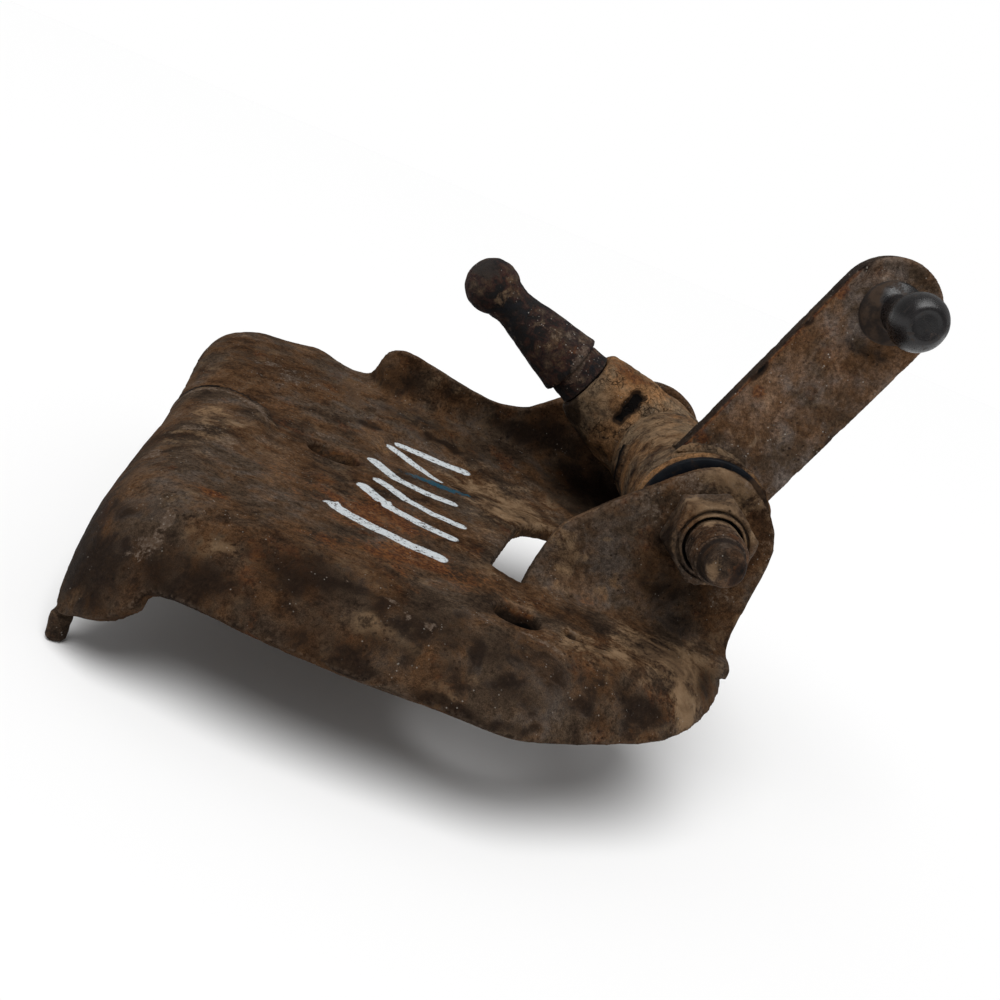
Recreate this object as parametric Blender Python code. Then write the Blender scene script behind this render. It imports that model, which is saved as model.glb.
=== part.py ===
"""Pivot bracket with a bell-crank lever: a pressed plate with two ears, a clamped pivot bolt,
and a lever that swings on it with a flat arm, a riveted ball stud and a ball-ended finger.
Dimensions are in millimetres here and are turned into metres where meshes are made."""
import math

import bpy
from mathutils import Matrix, Vector

for old in list(bpy.data.objects):
    bpy.data.objects.remove(old, do_unlink=True)

MM = 0.001
GAP = 0.3  # clearance kept between pieces that touch

# The pivot axis runs along Y. The row origin is the underside of the plate at the near bolt hole.
AXIS_X = 36.0
AXIS_Y = 26.0  # the near ear's front face
AXIS_Z = 28.3
PLATE = 4.0  # sheet thickness
PLATE_TOP = -24.3  # top of the flat panel below the axis
REAR_RISE = 7.3  # how far the rear of the panel climbs
RISE_FROM = 56.0
RISE_TO = 108.0

EAR_GAP = 95.5  # between the ears' inner faces
REAR_HEAD_R = 16.2
EAR_BEND_R = 5.0
BOLT_R = 6.0
HOLE_R = 6.3
NUT_AF = 18.0
NUT_H = 10.0
NUT_TURN = 22.6
HEAD_H = 7.5
BOLT_TIP_Y = -25.0
DOG_R = 4.4

SPACER_R = 8.0
BUSH_R = 10.4
BUSH_LEN = 20.0
SLEEVE_R = 14.4
SLEEVE_RIM_R = 16.6
FRONT_WASHER_R = 16.0
REAR_WASHER_R = 14.2
WASHER_T = 2.0

ARM_ANGLE = 21.1  # from straight up towards +X
ARM_LEN = 64.0
ARM_HALF = 12.6
ARM_Y = 18.7
ARM_T = 5.0
STUD_BALL_R = 6.5
STUD_BALL_Y = 0.7
STUD_NECK_R = 4.3
STUD_COLLAR_R = 7.3

FINGER_ANGLE = 66.9  # from straight up towards -X
FINGER_Y = 78.0
FINGER_LEN = 67.1
FINGER_BALL_R = 7.8
FINGER_NECK_R = 5.6
FINGER_SHOULDER_R = 9.5
FINGER_SHOULDER_S = 35.5
BOSS_END_S = 29.2
BOSS_END_R = 10.5
BOSS_HALF_Y = 16.0
BOSS_HALF_T = 13.4

BOLT_HOLE_NEAR = (-36.0, -26.0)
BOLT_HOLE_FAR = (-85.0, 39.0)
BOLT_HOLE_R = 5.5
FAR_SLOT_HALF = 1.5

RUST = (0.105, 0.075, 0.055)
DUST = (0.22, 0.165, 0.115)
GREASE = (0.035, 0.028, 0.026)


def material(name, colour, rough, metal):
    mat = bpy.data.materials.new(name)
    mat.use_nodes = True
    shader = mat.node_tree.nodes["Principled BSDF"]
    shader.inputs["Base Color"].default_value = (*colour, 1.0)
    shader.inputs["Roughness"].default_value = rough
    shader.inputs["Metallic"].default_value = metal
    mat.diffuse_color = (*colour, 1.0)
    return mat


def place(p):
    return Vector(((p[0] + AXIS_X) * MM, (p[1] + AXIS_Y) * MM, (p[2] + AXIS_Z) * MM))


def add_mesh(name, points, faces, mat=None, smooth=None, origin=(0, 0, 0)):
    """A mesh from points in the pivot's own millimetres, with its origin at the given point."""
    at = place(origin)
    mesh = bpy.data.meshes.new(name)
    mesh.from_pydata([place(p) - at for p in points], [], faces)
    mesh.validate()
    ob = bpy.data.objects.new(name, mesh)
    ob.location = at
    bpy.context.scene.collection.objects.link(ob)
    if mat:
        mesh.materials.append(mat)
    if smooth is not None:
        mesh.shade_smooth()
        mesh.set_sharp_from_angle(angle=math.radians(smooth))
    return ob


def guide(ob):
    ob.hide_render = True
    ob.display_type = "WIRE"
    return ob


def boolean(ob, tool, operation):
    mod = ob.modifiers.new(operation.title(), "BOOLEAN")
    mod.operation = operation
    mod.solver = "EXACT"
    mod.object = tool
    mod.show_viewport = True
    mod.show_render = True
    return mod


def closed_loops(loops, cap=True):
    """Faces of a closed skin over loops of equal length, the first and last capped."""
    n = len(loops[0])
    points = [p for loop in loops for p in loop]
    faces = []
    for k in range(len(loops) - 1):
        for i in range(n):
            j = (i + 1) % n
            faces.append((k * n + i, k * n + j, (k + 1) * n + j, (k + 1) * n + i))
    if cap:
        faces.append(tuple(reversed(range(n))))
        faces.append(tuple((len(loops) - 1) * n + i for i in range(n)))
    return points, faces


def ring_loop(radius, s, frame, n, wide=None):
    """A loop of n points round an axis: frame is (origin, axis, first side, second side)."""
    at, ax, a, b = frame
    out = []
    for i in range(n):
        t = 2 * math.pi * i / n
        c = math.cos(t) * radius
        d = math.sin(t) * (wide if wide else radius)
        out.append(tuple(at[k] + ax[k] * s + a[k] * c + b[k] * d for k in range(3)))
    return out


def along_y(x=0.0, z=0.0):
    return ((x, 0.0, z), (0.0, 1.0, 0.0), (0.0, 0.0, 1.0), (1.0, 0.0, 0.0))


def turned(name, profile, frame, n, mat=None, smooth=35, origin=(0, 0, 0)):
    """A solid of revolution from (s, radius) pairs. A profile that returns on itself is a tube."""
    tube = profile[0] == profile[-1]
    loops = [ring_loop(r, s, frame, n) for s, r in profile]
    points, faces = closed_loops(loops, cap=not tube)
    if tube:
        last = (len(loops) - 1) * n
        faces = [tuple(i - last if i >= last else i for i in f) for f in faces]
        points = points[:last]
    return add_mesh(name, points, faces, mat, smooth, origin)


def prism(name, outline, lo, hi, axis="y", mat=None, smooth=None, origin=(0, 0, 0)):
    """An outline pushed along an axis. Outline pairs are (x, z) along Y, (x, y) along Z, (y, z) along X."""
    turn = 0.0
    for (u, v), (p, q) in zip(outline, outline[1:] + outline[:1], strict=True):
        turn += u * q - p * v
    if (turn > 0) == (axis == "y"):
        outline = outline[::-1]
    if axis == "y":
        loops = [[(u, h, v) for u, v in outline] for h in (lo, hi)]
    elif axis == "z":
        loops = [[(u, v, h) for u, v in outline] for h in (lo, hi)]
    else:
        loops = [[(h, u, v) for u, v in outline] for h in (lo, hi)]
    points, faces = closed_loops(loops)
    return add_mesh(name, points, faces, mat, smooth, origin)


def arc(cx, cy, r, start, stop, n):
    out = []
    for i in range(n + 1):
        t = math.radians(start + (stop - start) * i / n)
        out.append((cx + r * math.cos(t), cy + r * math.sin(t)))
    return out


# ---------------------------------------------------------------- the pressed plate
# Each station goes round the plate's edge: where the flat panel ends (x, y), where the rim ends
# (x, y, z), and how far out the bend reaches before it turns.
STATIONS = [
    ((-98, -27), (-103.5, -43.5, -38.8), 0.55),
    ((-82, -31), (-84, -49.5, -37.6), 0.55),
    ((-64, -33), (-66, -51.7, -37.7), 0.55),
    ((-48, -34), (-48, -52.5, -37.6), 0.55),
    ((-34, -35), (-32.5, -52.5, -38.2), 0.55),
    ((-25, -33), (-22, -47.5, -38.4), 0.55),
    ((-14, -29), (-11.5, -41.8, -37.3), 0.55),
    ((-5, -22), (1, -33.8, -36), 0.6),
    ((1, -14), (10, -22.8, -34), 0.65),
    ((5, -7), (16, -9.5, -32), 0.7),
    ((8, -1), (17.3, 0, -29), 0.75),
    ((10, 7), (17.2, 8, -26), 0.7),
    ((9, 22), (17.5, 24, -24.6), 0.7),
    ((2, 38), (18, 44, -24.3), 0.7),
    ((-7, 52), (18, 60, -22.5), 0.7),
    ((-12, 60), (18, 78, -18), 0.75),
    ((-16, 67), (17, 99.5, -14), 0.8),
    ((-19, 71), (5, 99.8, -14), 0.85),
    ((-22, 75), (-9, 99.8, -13), 0.88),
    ((-26, 79), (-20, 99.8, -5), 0.9),
    ((-32, 85), (-30, 99.8, -2), 0.9),
    ((-38, 90), (-37, 99.8, -5.8), 0.9),
    ((-46, 93), (-45.5, 99.8, -7.9), 0.9),
    ((-55, 94), (-55.5, 99.8, -7.2), 0.9),
    ((-64, 94), (-66, 99.8, -5.3), 0.9),
    ((-73, 95), (-78, 100.2, -3.6), 0.9),
    ((-79, 97), (-83.5, 103, -6.2), 0.85),
    ((-82, 101), (-86, 109, -14.3), 0.8),
    ((-86, 105), (-89.5, 114.5, -17), 0.7),
    ((-94, 105), (-95, 114, -17), 0.7),
    ((-103, 113), (-105, 123.5, -17), 0.7),
    ((-112, 111), (-115, 119.5, -17.8), 0.7),
    ((-119, 107), (-126.5, 116, -18.8), 0.7),
    ((-121, 97), (-135, 104, -26), 0.85),
    ((-116, 70), (-132, 70, -33), 0.86),
    ((-112, 45), (-129.2, 45, -36), 0.86),
    ((-110.5, 15), (-127.6, 15, -38), 0.86),
    ((-108.5, -14), (-125.2, -17, -43), 0.86),
    ((-106, -22), (-123, -32, -54), 0.8),
    ((-104, -25), (-117.5, -38, -52), 0.72),
    ((-102, -26), (-112, -42, -48.5), 0.65),
    ((-100, -26.5), (-107, -44, -43), 0.6),
]
PANEL_CENTRE = (-62.0, 22.0)


def panel_z(y):
    t = min(max((y - RISE_FROM) / (RISE_TO - RISE_FROM), 0.0), 1.0)
    return PLATE_TOP + REAR_RISE * t * t * (3 - 2 * t)


def spline(values, count):
    """A closed smooth curve through the values, count points to each span."""
    n = len(values)
    out = []
    for i in range(n):
        a, b, c, d = (values[(i + k) % n] for k in (-1, 0, 1, 2))
        for j in range(count):
            t = j / count
            row = []
            for w in range(len(b)):
                m0 = 0.5 * (c[w] - a[w])
                m1 = 0.5 * (d[w] - b[w])
                h = 2 * t**3 - 3 * t**2 + 1
                g = t**3 - 2 * t**2 + t
                p = -2 * t**3 + 3 * t**2
                q = t**3 - t**2
                row.append(h * b[w] + g * m0 + p * c[w] + q * m1)
            out.append(tuple(row))
    return out


def plate_rings(per_span, panel_rings, bend_rings):
    flat = [(*b, *e, k) for b, e, k in STATIONS]
    stations = spline(flat, per_span)
    rings = []
    for r in range(1, panel_rings + 1):
        f = r / panel_rings
        ring = []
        for bx, by, _, _, _, _ in stations:
            x = PANEL_CENTRE[0] + f * (bx - PANEL_CENTRE[0])
            y = PANEL_CENTRE[1] + f * (by - PANEL_CENTRE[1])
            ring.append((x, y, panel_z(y)))
        rings.append(ring)
    for r in range(1, bend_rings + 1):
        t = r / bend_rings
        ring = []
        for bx, by, ex, ey, ez, k in stations:
            kx = bx + k * (ex - bx)
            ky = by + k * (ey - by)
            bz = panel_z(by)
            a, b, c = (1 - t) ** 2, 2 * t * (1 - t), t * t
            ring.append((a * bx + b * kx + c * ex, a * by + b * ky + c * ey, (a + b) * bz + c * ez))
        rings.append(ring)
    return rings


def plate_skin(rings):
    """The top skin as given and the under skin one sheet thickness below it, joined at the rim."""
    n = len(rings[0])
    centre = Vector((*PANEL_CENTRE, PLATE_TOP))
    top = [Vector(p) for ring in rings for p in ring] + [centre]
    mid = len(top) - 1
    faces = [(mid, i, (i + 1) % n) for i in range(n)]
    for k in range(len(rings) - 1):
        for i in range(n):
            j = (i + 1) % n
            faces.append((k * n + i, (k + 1) * n + i, (k + 1) * n + j, k * n + j))
    normals = [Vector() for _ in top]
    for f in faces:
        side = (top[f[1]] - top[f[0]]).cross(top[f[-1]] - top[f[0]])
        side = side.normalized() if side.length > 1e-9 else side
        for i in f:
            normals[i] += side
    under = [p - v.normalized() * PLATE for p, v in zip(top, normals, strict=True)]
    base = len(top)
    skin = list(faces)
    skin += [tuple(base + i for i in reversed(f)) for f in faces]
    last = (len(rings) - 1) * n
    for i in range(n):
        j = (i + 1) % n
        skin.append((last + i, base + last + i, base + last + j, last + j))
    return [tuple(p) for p in top + under], skin


steel = material("bracket_steel", RUST, 0.72, 0.35)
bracket = add_mesh("bracket", *plate_skin(plate_rings(2, 3, 4)), steel, 38)

# The near ear is a tongue bent up from the panel, with a soft inner bend on its front.
bend_in = arc(-EAR_BEND_R, PLATE_TOP + EAR_BEND_R, EAR_BEND_R, -90, 0, 6)
bend_out = arc(-EAR_BEND_R, PLATE_TOP + EAR_BEND_R, EAR_BEND_R + PLATE, 0, -90, 6)
ear_side = [(-10.0, PLATE_TOP - 0.6), *bend_in, (0.0, 20.0), (PLATE, 20.0), *bend_out]
ear_side.append((-10.0, PLATE_TOP - PLATE + 0.6))
near_ear = guide(prism("near_ear_blank", ear_side, -44.0, 26.0, "x"))
near_outline = [(-34.5, -32.0), (-33.8, -25.0), (-32.4, -19.0), (-31.4, -14.0), (-29.8, -10.0)]
near_outline += [(-26.4, -6.3), (-21.4, -0.9), (-17.4, 2.8), (-14.1, 5.8), (-11.0, 8.8)]
near_outline += [(-8.1, 11.3), (-5.0, 13.4), (-1.7, 14.7), (1.8, 14.8), (5.2, 13.9), (9.3, 11.5)]
near_outline += [(12.6, 8.8), (15.1, 5.6), (16.5, 2.0), (17.0, -2.0), (16.9, -7.0), (16.3, -22.0)]
near_outline += [(16.2, -32.0)]
near_cut = guide(prism("near_ear_outline", near_outline, -14.0, 10.0))
boolean(near_ear, near_cut, "INTERSECT")

rear_outline = [(-46.0, -14.0), (-45.0, -9.2), (-37.0, -6.2), (-29.0, 0.3), (-21.0, 6.0)]
rear_outline += arc(0, 0, REAR_HEAD_R, 140, 0, 14)
rear_outline += [(16.2, -16.5), (-20.0, -16.5)]
near_back = PLATE + EAR_GAP
rear_ear = guide(prism("rear_ear_blank", rear_outline, near_back, near_back + 4.6))

# The notch left by the near ear's tongue, open at the plate's right edge.
notch = [(-42.0, 0.5), (-41.3, 4.0), (-36.5, 28.0), (-34.6, 36.0), (-31.5, 42.0), (-26.0, 46.5)]
notch += [(-18.0, 49.0), (-8.0, 50.0), (30.0, 50.0), (30.0, 4.3), (16.9, 4.3), (15.6, -5.6)]
notch += [(-33.0, -5.6), (-37.0, -4.6), (-40.5, -2.3)]
window = guide(prism("notch_cutter", notch, -45.0, -8.0, "z"))
boolean(bracket, window, "DIFFERENCE")
boolean(bracket, near_ear, "UNION")
boolean(bracket, rear_ear, "UNION")


def slot_outline(x, y, r, half):
    return arc(x + half, y, r, -90, 90, 8) + arc(x - half, y, r, 90, 270, 8)


near_hole = guide(prism("near_hole", arc(*BOLT_HOLE_NEAR, BOLT_HOLE_R, 0, 345, 23), -45, -8, "z"))
far_slot = slot_outline(*BOLT_HOLE_FAR, BOLT_HOLE_R, FAR_SLOT_HALF)
far_hole = guide(prism("far_hole", far_slot, -45, -8, "z"))
pivot_hole = [(-12.0, HOLE_R), (120.0, HOLE_R)]
pivot_drill = guide(turned("pivot_drill", pivot_hole, along_y(), 32))
for tool in (near_hole, far_hole, pivot_drill):
    boolean(bracket, tool, "DIFFERENCE")

# A short round peg stands down at the plate's front left corner, its spigot in the sheet's edge.
PEG_X = -121.6
PEG_Y = -30.3
peg_frame = ((PEG_X, PEG_Y, 0), (0, 0, 1), (1, 0, 0), (0, 1, 0))
peg = [(-61.8, 1.6), (-61.2, 2.2), (-56.4, 2.2), (-56.4, 1.0), (-51.6, 1.0)]
peg_steel = material("peg_steel", RUST, 0.7, 0.4)
turned("locating_peg", peg, peg_frame, 16, peg_steel, 35, (PEG_X, PEG_Y, -54.5))
peg_seat = guide(turned("peg_seat", [(-70.0, 1.3), (-51.3, 1.3)], peg_frame, 16))
boolean(bracket, peg_seat, "DIFFERENCE")

# ---------------------------------------------------------------- the clamped pivot
def hexagon(af, turn):
    r = af / math.sqrt(3)
    out = []
    for i in range(6):
        t = math.radians(60 * i + turn)
        out.append((r * math.cos(t), r * math.sin(t)))
    return out


def hex_piece(name, af, lo, hi, turn, mat, hole, origin):
    """A hexagon along Y with both faces chamfered to a circle, drilled if hole is given."""
    ob = prism(name, hexagon(af, turn), lo, hi, "y", mat, None, origin)
    r = af / math.sqrt(3)
    span = (hi - lo) / 2
    cone = [(lo, r - 1.3), (lo + 1.1, r + 0.7), (lo + span, r + 0.8), (hi - 1.1, r + 0.7)]
    cone.append((hi, r - 1.3))
    shape = guide(turned(name + "_chamfer", cone, along_y(), 36))
    boolean(ob, shape, "INTERSECT")
    if hole:
        drill = guide(turned(name + "_drill", [(lo - 2, hole), (hi + 2, hole)], along_y(), 32))
        boolean(ob, drill, "DIFFERENCE")
    return ob


zinc = material("fastener_steel", (0.16, 0.13, 0.11), 0.6, 0.6)
hex_piece("pivot_nut", NUT_AF, -GAP - NUT_H, -GAP, NUT_TURN, zinc, HOLE_R, (0, -5.0, 0))

rear_face = near_back + 4.6
head_lo = rear_face + GAP
bolt = [(BOLT_TIP_Y, DOG_R - 0.6), (BOLT_TIP_Y + 0.6, DOG_R), (BOLT_TIP_Y + 4.4, DOG_R)]
bolt += [(-19.4, BOLT_R - 0.6), (-18.6, BOLT_R), (head_lo + 1.5, BOLT_R)]
bolt_steel = material("bolt_steel", (0.17, 0.14, 0.12), 0.55, 0.6)
pivot_bolt = turned("pivot_bolt", bolt, along_y(), 32, bolt_steel, 35, (0, -5.0, 0))
head = guide(hex_piece("bolt_head_blank", NUT_AF, head_lo, head_lo + HEAD_H, 15.0, None, None,
                       (0, 0, 0)))
boolean(pivot_bolt, head, "UNION")

inner_lo = PLATE + GAP
inner_hi = near_back - GAP
tube = [(inner_lo, HOLE_R), (inner_lo, SPACER_R), (inner_hi, SPACER_R), (inner_hi, HOLE_R)]
spacer = material("spacer_steel", (0.3, 0.29, 0.28), 0.4, 0.8)
turned("spacer_tube", [*tube, tube[0]], along_y(), 32, spacer, 35, (0, 0, 0))

# ---------------------------------------------------------------- the swinging lever
lever = bpy.data.objects.new("lever_pivot", None)
lever.location = place((0, 0, 0))
bpy.context.scene.collection.objects.link(lever)


def on_lever(ob):
    ob.parent = lever
    ob.matrix_parent_inverse = Matrix.Translation(-lever.location)
    return ob


def washer(name, lo, out, colour):
    r = SPACER_R + GAP
    shape = [(lo, r), (lo, out - 0.4), (lo + 0.4, out), (lo + WASHER_T - 0.4, out)]
    shape += [(lo + WASHER_T, out - 0.4), (lo + WASHER_T, r)]
    mat = material(name + "_polymer", colour, 0.45, 0.0)
    return turned(name, [*shape, shape[0]], along_y(), 40, mat, 35, (0, 0, 0))


washer("thrust_washer_front", inner_lo, FRONT_WASHER_R, (0.035, 0.042, 0.055))
washer("thrust_washer_rear", inner_hi - WASHER_T, REAR_WASHER_R, (0.035, 0.042, 0.055))

lo = inner_lo + WASHER_T + GAP
hi = inner_hi - WASHER_T - GAP
for name, a, b in (
    ("bush_front", lo + 0.3, lo + 0.3 + BUSH_LEN),
    ("bush_rear", hi - 0.3 - BUSH_LEN, hi - 0.3),
):
    r = SPACER_R + GAP
    shape = [(a, r), (a, BUSH_R - 0.4), (a + 0.5, BUSH_R), (b - 0.5, BUSH_R)]
    shape += [(b, BUSH_R - 0.4), (b, r)]
    mat = material(name + "_bronze", (0.32, 0.2, 0.09), 0.45, 0.8)
    on_lever(turned(name, [*shape, shape[0]], along_y(), 32, mat, 35, (0, 0, 0)))

bore = BUSH_R + GAP
shape = [(lo, bore), (lo, SLEEVE_RIM_R - 0.5), (lo + 0.6, SLEEVE_RIM_R), (lo + 1.8, SLEEVE_RIM_R)]
shape += [(lo + 3.6, SLEEVE_R), (hi - 0.6, SLEEVE_R), (hi, SLEEVE_R - 0.6), (hi, bore)]
sleeve_steel = material("sleeve_steel", DUST, 0.85, 0.15)
on_lever(turned("sleeve", [*shape, shape[0]], along_y(), 48, sleeve_steel, 35, (0, 0, 0)))

tilt = math.radians(ARM_ANGLE)
ax = (math.sin(tilt), math.cos(tilt))
side = (math.cos(tilt), -math.sin(tilt))


def arm_point(s, t):
    return (ax[0] * s + side[0] * t, ax[1] * s + side[1] * t)


outline = [arm_point(5.0, ARM_HALF), arm_point(5.0, -ARM_HALF)]
for i in range(17):
    t = math.pi * i / 16
    outline.append(arm_point(ARM_LEN + ARM_HALF * math.sin(t), -ARM_HALF * math.cos(t)))
arm = prism("arm_plate", outline, ARM_Y, ARM_Y + ARM_T, "y",
            material("arm_steel", (0.17, 0.13, 0.1), 0.8, 0.3), None, (0, 0, 0))
arm_cut = [(ARM_Y - 3, SLEEVE_R + GAP), (ARM_Y + ARM_T + 3, SLEEVE_R + GAP)]
boolean(arm, guide(turned("arm_saddle", arm_cut, along_y(), 48)), "DIFFERENCE")
end = arm_point(ARM_LEN, 0)
stud_hole = [(ARM_Y - 3, 5.3), (ARM_Y + ARM_T + 3, 5.3)]
boolean(arm, guide(turned("stud_drill", stud_hole, along_y(*end), 28)), "DIFFERENCE")
on_lever(arm)

stud = []
flat = 3.8
start = math.asin(flat / STUD_BALL_R)
stop = math.pi - math.asin(STUD_NECK_R / STUD_BALL_R)
for i in range(11):
    t = start + (stop - start) * i / 10
    stud.append((STUD_BALL_Y - STUD_BALL_R * math.cos(t), STUD_BALL_R * math.sin(t)))
front = ARM_Y - GAP
stud += [(front - 5.0, STUD_NECK_R), (front - 3.6, STUD_NECK_R + 1.2)]
stud += [(front - 2.6, STUD_COLLAR_R - 0.4), (front - 2.2, STUD_COLLAR_R), (front, STUD_COLLAR_R)]
back = ARM_Y + ARM_T + GAP
stud += [(front, 5.0), (back, 5.0), (back, 7.4), (back + 1.2, 7.0), (back + 2.6, 4.6)]
stud_steel = material("stud_steel", (0.045, 0.042, 0.045), 0.28, 0.75)
on_lever(turned("ball_stud", stud, along_y(*end), 32, stud_steel, 35, (0, 0, 0)))

lean = math.radians(FINGER_ANGLE)
finger_axis = (-math.sin(lean), 0.0, math.cos(lean))
finger_side = (math.cos(lean), 0.0, math.sin(lean))
finger_frame = ((0.0, FINGER_Y, 0.0), finger_axis, finger_side, (0.0, 1.0, 0.0))

boss_rings = []
for s, t, y in (
    (BOSS_END_S, BOSS_END_R - 0.6, BOSS_END_R - 0.6),
    (BOSS_END_S - 0.7, BOSS_END_R, BOSS_END_R),
    (24.0, 11.7, 11.9),
    (19.0, 12.7, 13.8),
    (13.0, BOSS_HALF_T, BOSS_HALF_Y),
    (4.0, BOSS_HALF_T, BOSS_HALF_Y + 1.0),
):
    boss_rings.append(ring_loop(t, s, finger_frame, 36, y))
points, faces = closed_loops(boss_rings)
boss_steel = material("boss_steel", DUST, 0.85, 0.15)
boss = add_mesh("finger_boss", points, faces, boss_steel, 35, (0, 0, 0))
saddle = [(40.0, SLEEVE_R + GAP), (110.0, SLEEVE_R + GAP)]
boolean(boss, guide(turned("boss_saddle", saddle, along_y(), 48)), "DIFFERENCE")
SHANK_R = 6.2
boss_bore = [(18.5, SHANK_R + GAP), (40.0, SHANK_R + GAP)]
boolean(boss, guide(turned("boss_bore", boss_bore, finger_frame, 28)), "DIFFERENCE")
on_lever(boss)

collar = BOSS_END_S + GAP
finger = [(19.0, SHANK_R - 0.6), (19.6, SHANK_R), (collar, SHANK_R), (collar, 8.6)]
finger += [(FINGER_SHOULDER_S - 0.2, 8.0), (FINGER_SHOULDER_S, FINGER_SHOULDER_R - 0.3)]
finger += [(FINGER_SHOULDER_S + 0.5, FINGER_SHOULDER_R), (FINGER_LEN - 9.5, FINGER_NECK_R + 0.2)]
first = math.asin(FINGER_NECK_R / FINGER_BALL_R)
for i in range(11):
    t = first + (math.pi - 0.25 - first) * i / 10
    finger.append((FINGER_LEN - FINGER_BALL_R * math.cos(t), FINGER_BALL_R * math.sin(t)))
finger_steel = material("finger_steel", GREASE, 0.4, 0.4)
on_lever(turned("ball_finger", finger, finger_frame, 32, finger_steel, 35, (0, 0, 0)))
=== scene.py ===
"""Looks for the pivot bracket with its bell-crank lever: worn, rusty, dusty and greasy steel.
Lengths are in millimetres from the pivot axis at the near ear's front face (X right, Y back, Z up)
and become metres in the row frame where meshes are made."""

import math

import bpy
import numpy as np
from mathutils import Matrix, Vector, noise


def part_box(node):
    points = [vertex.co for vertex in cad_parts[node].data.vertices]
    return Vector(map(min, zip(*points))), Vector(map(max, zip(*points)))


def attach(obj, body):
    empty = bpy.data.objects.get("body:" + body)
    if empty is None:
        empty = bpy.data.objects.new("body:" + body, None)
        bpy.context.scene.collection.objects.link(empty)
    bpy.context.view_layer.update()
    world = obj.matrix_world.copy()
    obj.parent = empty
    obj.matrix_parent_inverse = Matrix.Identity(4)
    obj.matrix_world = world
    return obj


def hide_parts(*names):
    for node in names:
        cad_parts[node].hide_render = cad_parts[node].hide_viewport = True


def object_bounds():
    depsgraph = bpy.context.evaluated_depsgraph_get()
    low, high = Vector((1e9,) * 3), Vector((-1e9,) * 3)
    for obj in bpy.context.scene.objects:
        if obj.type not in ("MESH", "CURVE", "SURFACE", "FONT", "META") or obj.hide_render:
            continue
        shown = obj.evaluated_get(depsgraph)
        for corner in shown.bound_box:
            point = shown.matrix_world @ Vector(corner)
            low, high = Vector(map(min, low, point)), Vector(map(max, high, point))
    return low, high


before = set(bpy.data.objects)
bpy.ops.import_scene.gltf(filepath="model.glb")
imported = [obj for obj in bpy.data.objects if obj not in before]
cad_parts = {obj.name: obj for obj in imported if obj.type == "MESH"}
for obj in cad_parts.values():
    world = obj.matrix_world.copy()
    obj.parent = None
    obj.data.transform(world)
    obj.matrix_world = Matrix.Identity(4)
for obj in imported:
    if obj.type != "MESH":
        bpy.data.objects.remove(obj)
cad_low, cad_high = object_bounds()

MM = 0.001
GAP = 0.3
PLATE = 4.0
REAR_EAR = 4.6
EAR_GAP = 95.5
PLATE_TOP = -24.3
REAR_RISE = 7.3
RISE_FROM = 56.0
RISE_TO = 108.0
SLEEVE_R = 14.4
ARM_ANGLE = math.radians(21.1)
ARM_LEN = 64.0
ARM_HALF = 12.6
ARM_Y = 18.7
ARM_T = 5.0
FINGER_ANGLE = math.radians(66.9)
FINGER_Y = 78.0
FINGER_LEN = 67.1
NEAR_HOLE = (-36.0, -26.0)
FAR_HOLE = (-85.0, 39.0)
HOLE_R = 5.5
BURR_R = 7.2
BURR_DEPTH = 1.3
BOLT_BORE_R = 6.3
LEVER_BORE_R = 8.3
STUD_HOLE_R = 5.3
WASHER_T = 2.0
BUSH_LEN = 20.0
SLOT_HALF = 1.5
CUT = (-45, -8)
BRACKET_GRID = 0.7
LEVER_GRID = 0.42

# The pivot axis and the ear's front face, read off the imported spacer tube.
tube_low, tube_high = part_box("spacer_tube")
PIVOT = Vector(((tube_low.x + tube_high.x) / 2, tube_low.y - (PLATE + GAP) * MM,
                (tube_low.z + tube_high.z) / 2))


# ---- mesh helpers
def place(p):
    return PIVOT + Vector(p) * MM


def show(name, data):
    """A new object in the scene."""
    ob = bpy.data.objects.new(name, data)
    bpy.context.scene.collection.objects.link(ob)
    return ob


def mesh_object(name, points, faces):
    mesh = bpy.data.meshes.new(name)
    mesh.from_pydata([place(p) for p in points], [], faces)
    mesh.validate()
    mesh.shade_smooth()
    return show(name, mesh)


def applied(ob, *tools):
    """Bakes the modifiers into the mesh and removes the cutters."""
    graph = bpy.context.evaluated_depsgraph_get()
    mesh = bpy.data.meshes.new_from_object(ob.evaluated_get(graph))
    ob.modifiers.clear()
    ob.data = mesh
    for tool in tools:
        bpy.data.objects.remove(tool, do_unlink=True)
    return ob


def boolean(ob, tool, operation="DIFFERENCE"):
    mod = ob.modifiers.new(operation.title(), "BOOLEAN")
    mod.operation = operation
    mod.solver = "EXACT"
    mod.object = tool


def voxelled(ob, size, rounds):
    """One even closed skin with worn, slightly rounded edges."""
    mod = ob.modifiers.new("Remesh", "REMESH")
    mod.mode = "VOXEL"
    mod.voxel_size = size * MM
    mod.use_smooth_shade = True
    soft = ob.modifiers.new("Smooth", "SMOOTH")
    soft.factor = 0.5
    soft.iterations = rounds
    return applied(ob)


def skin(loops, closed=False):
    """Quads between neighbouring loops: capped at both ends, or joined last to first."""
    n = len(loops[0])
    points = [tuple(p) for loop in loops for p in loop]
    faces = []
    count = len(loops)
    for k in range(count if closed else count - 1):
        m = (k + 1) % count
        for i in range(n):
            j = (i + 1) % n
            faces.append((k * n + i, k * n + j, m * n + j, m * n + i))
    if not closed:
        faces.append(tuple(reversed(range(n))))
        faces.append(tuple((count - 1) * n + i for i in range(n)))
    return points, faces


Y_AXIS = ((0.0, 0.0, 0.0), (0.0, 1.0, 0.0), (0.0, 0.0, 1.0), (1.0, 0.0, 0.0))


def along_y(x, z):
    return ((x, 0.0, z), *Y_AXIS[1:])


def at_angle(radius, t):
    return radius(t) if callable(radius) else radius


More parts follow.
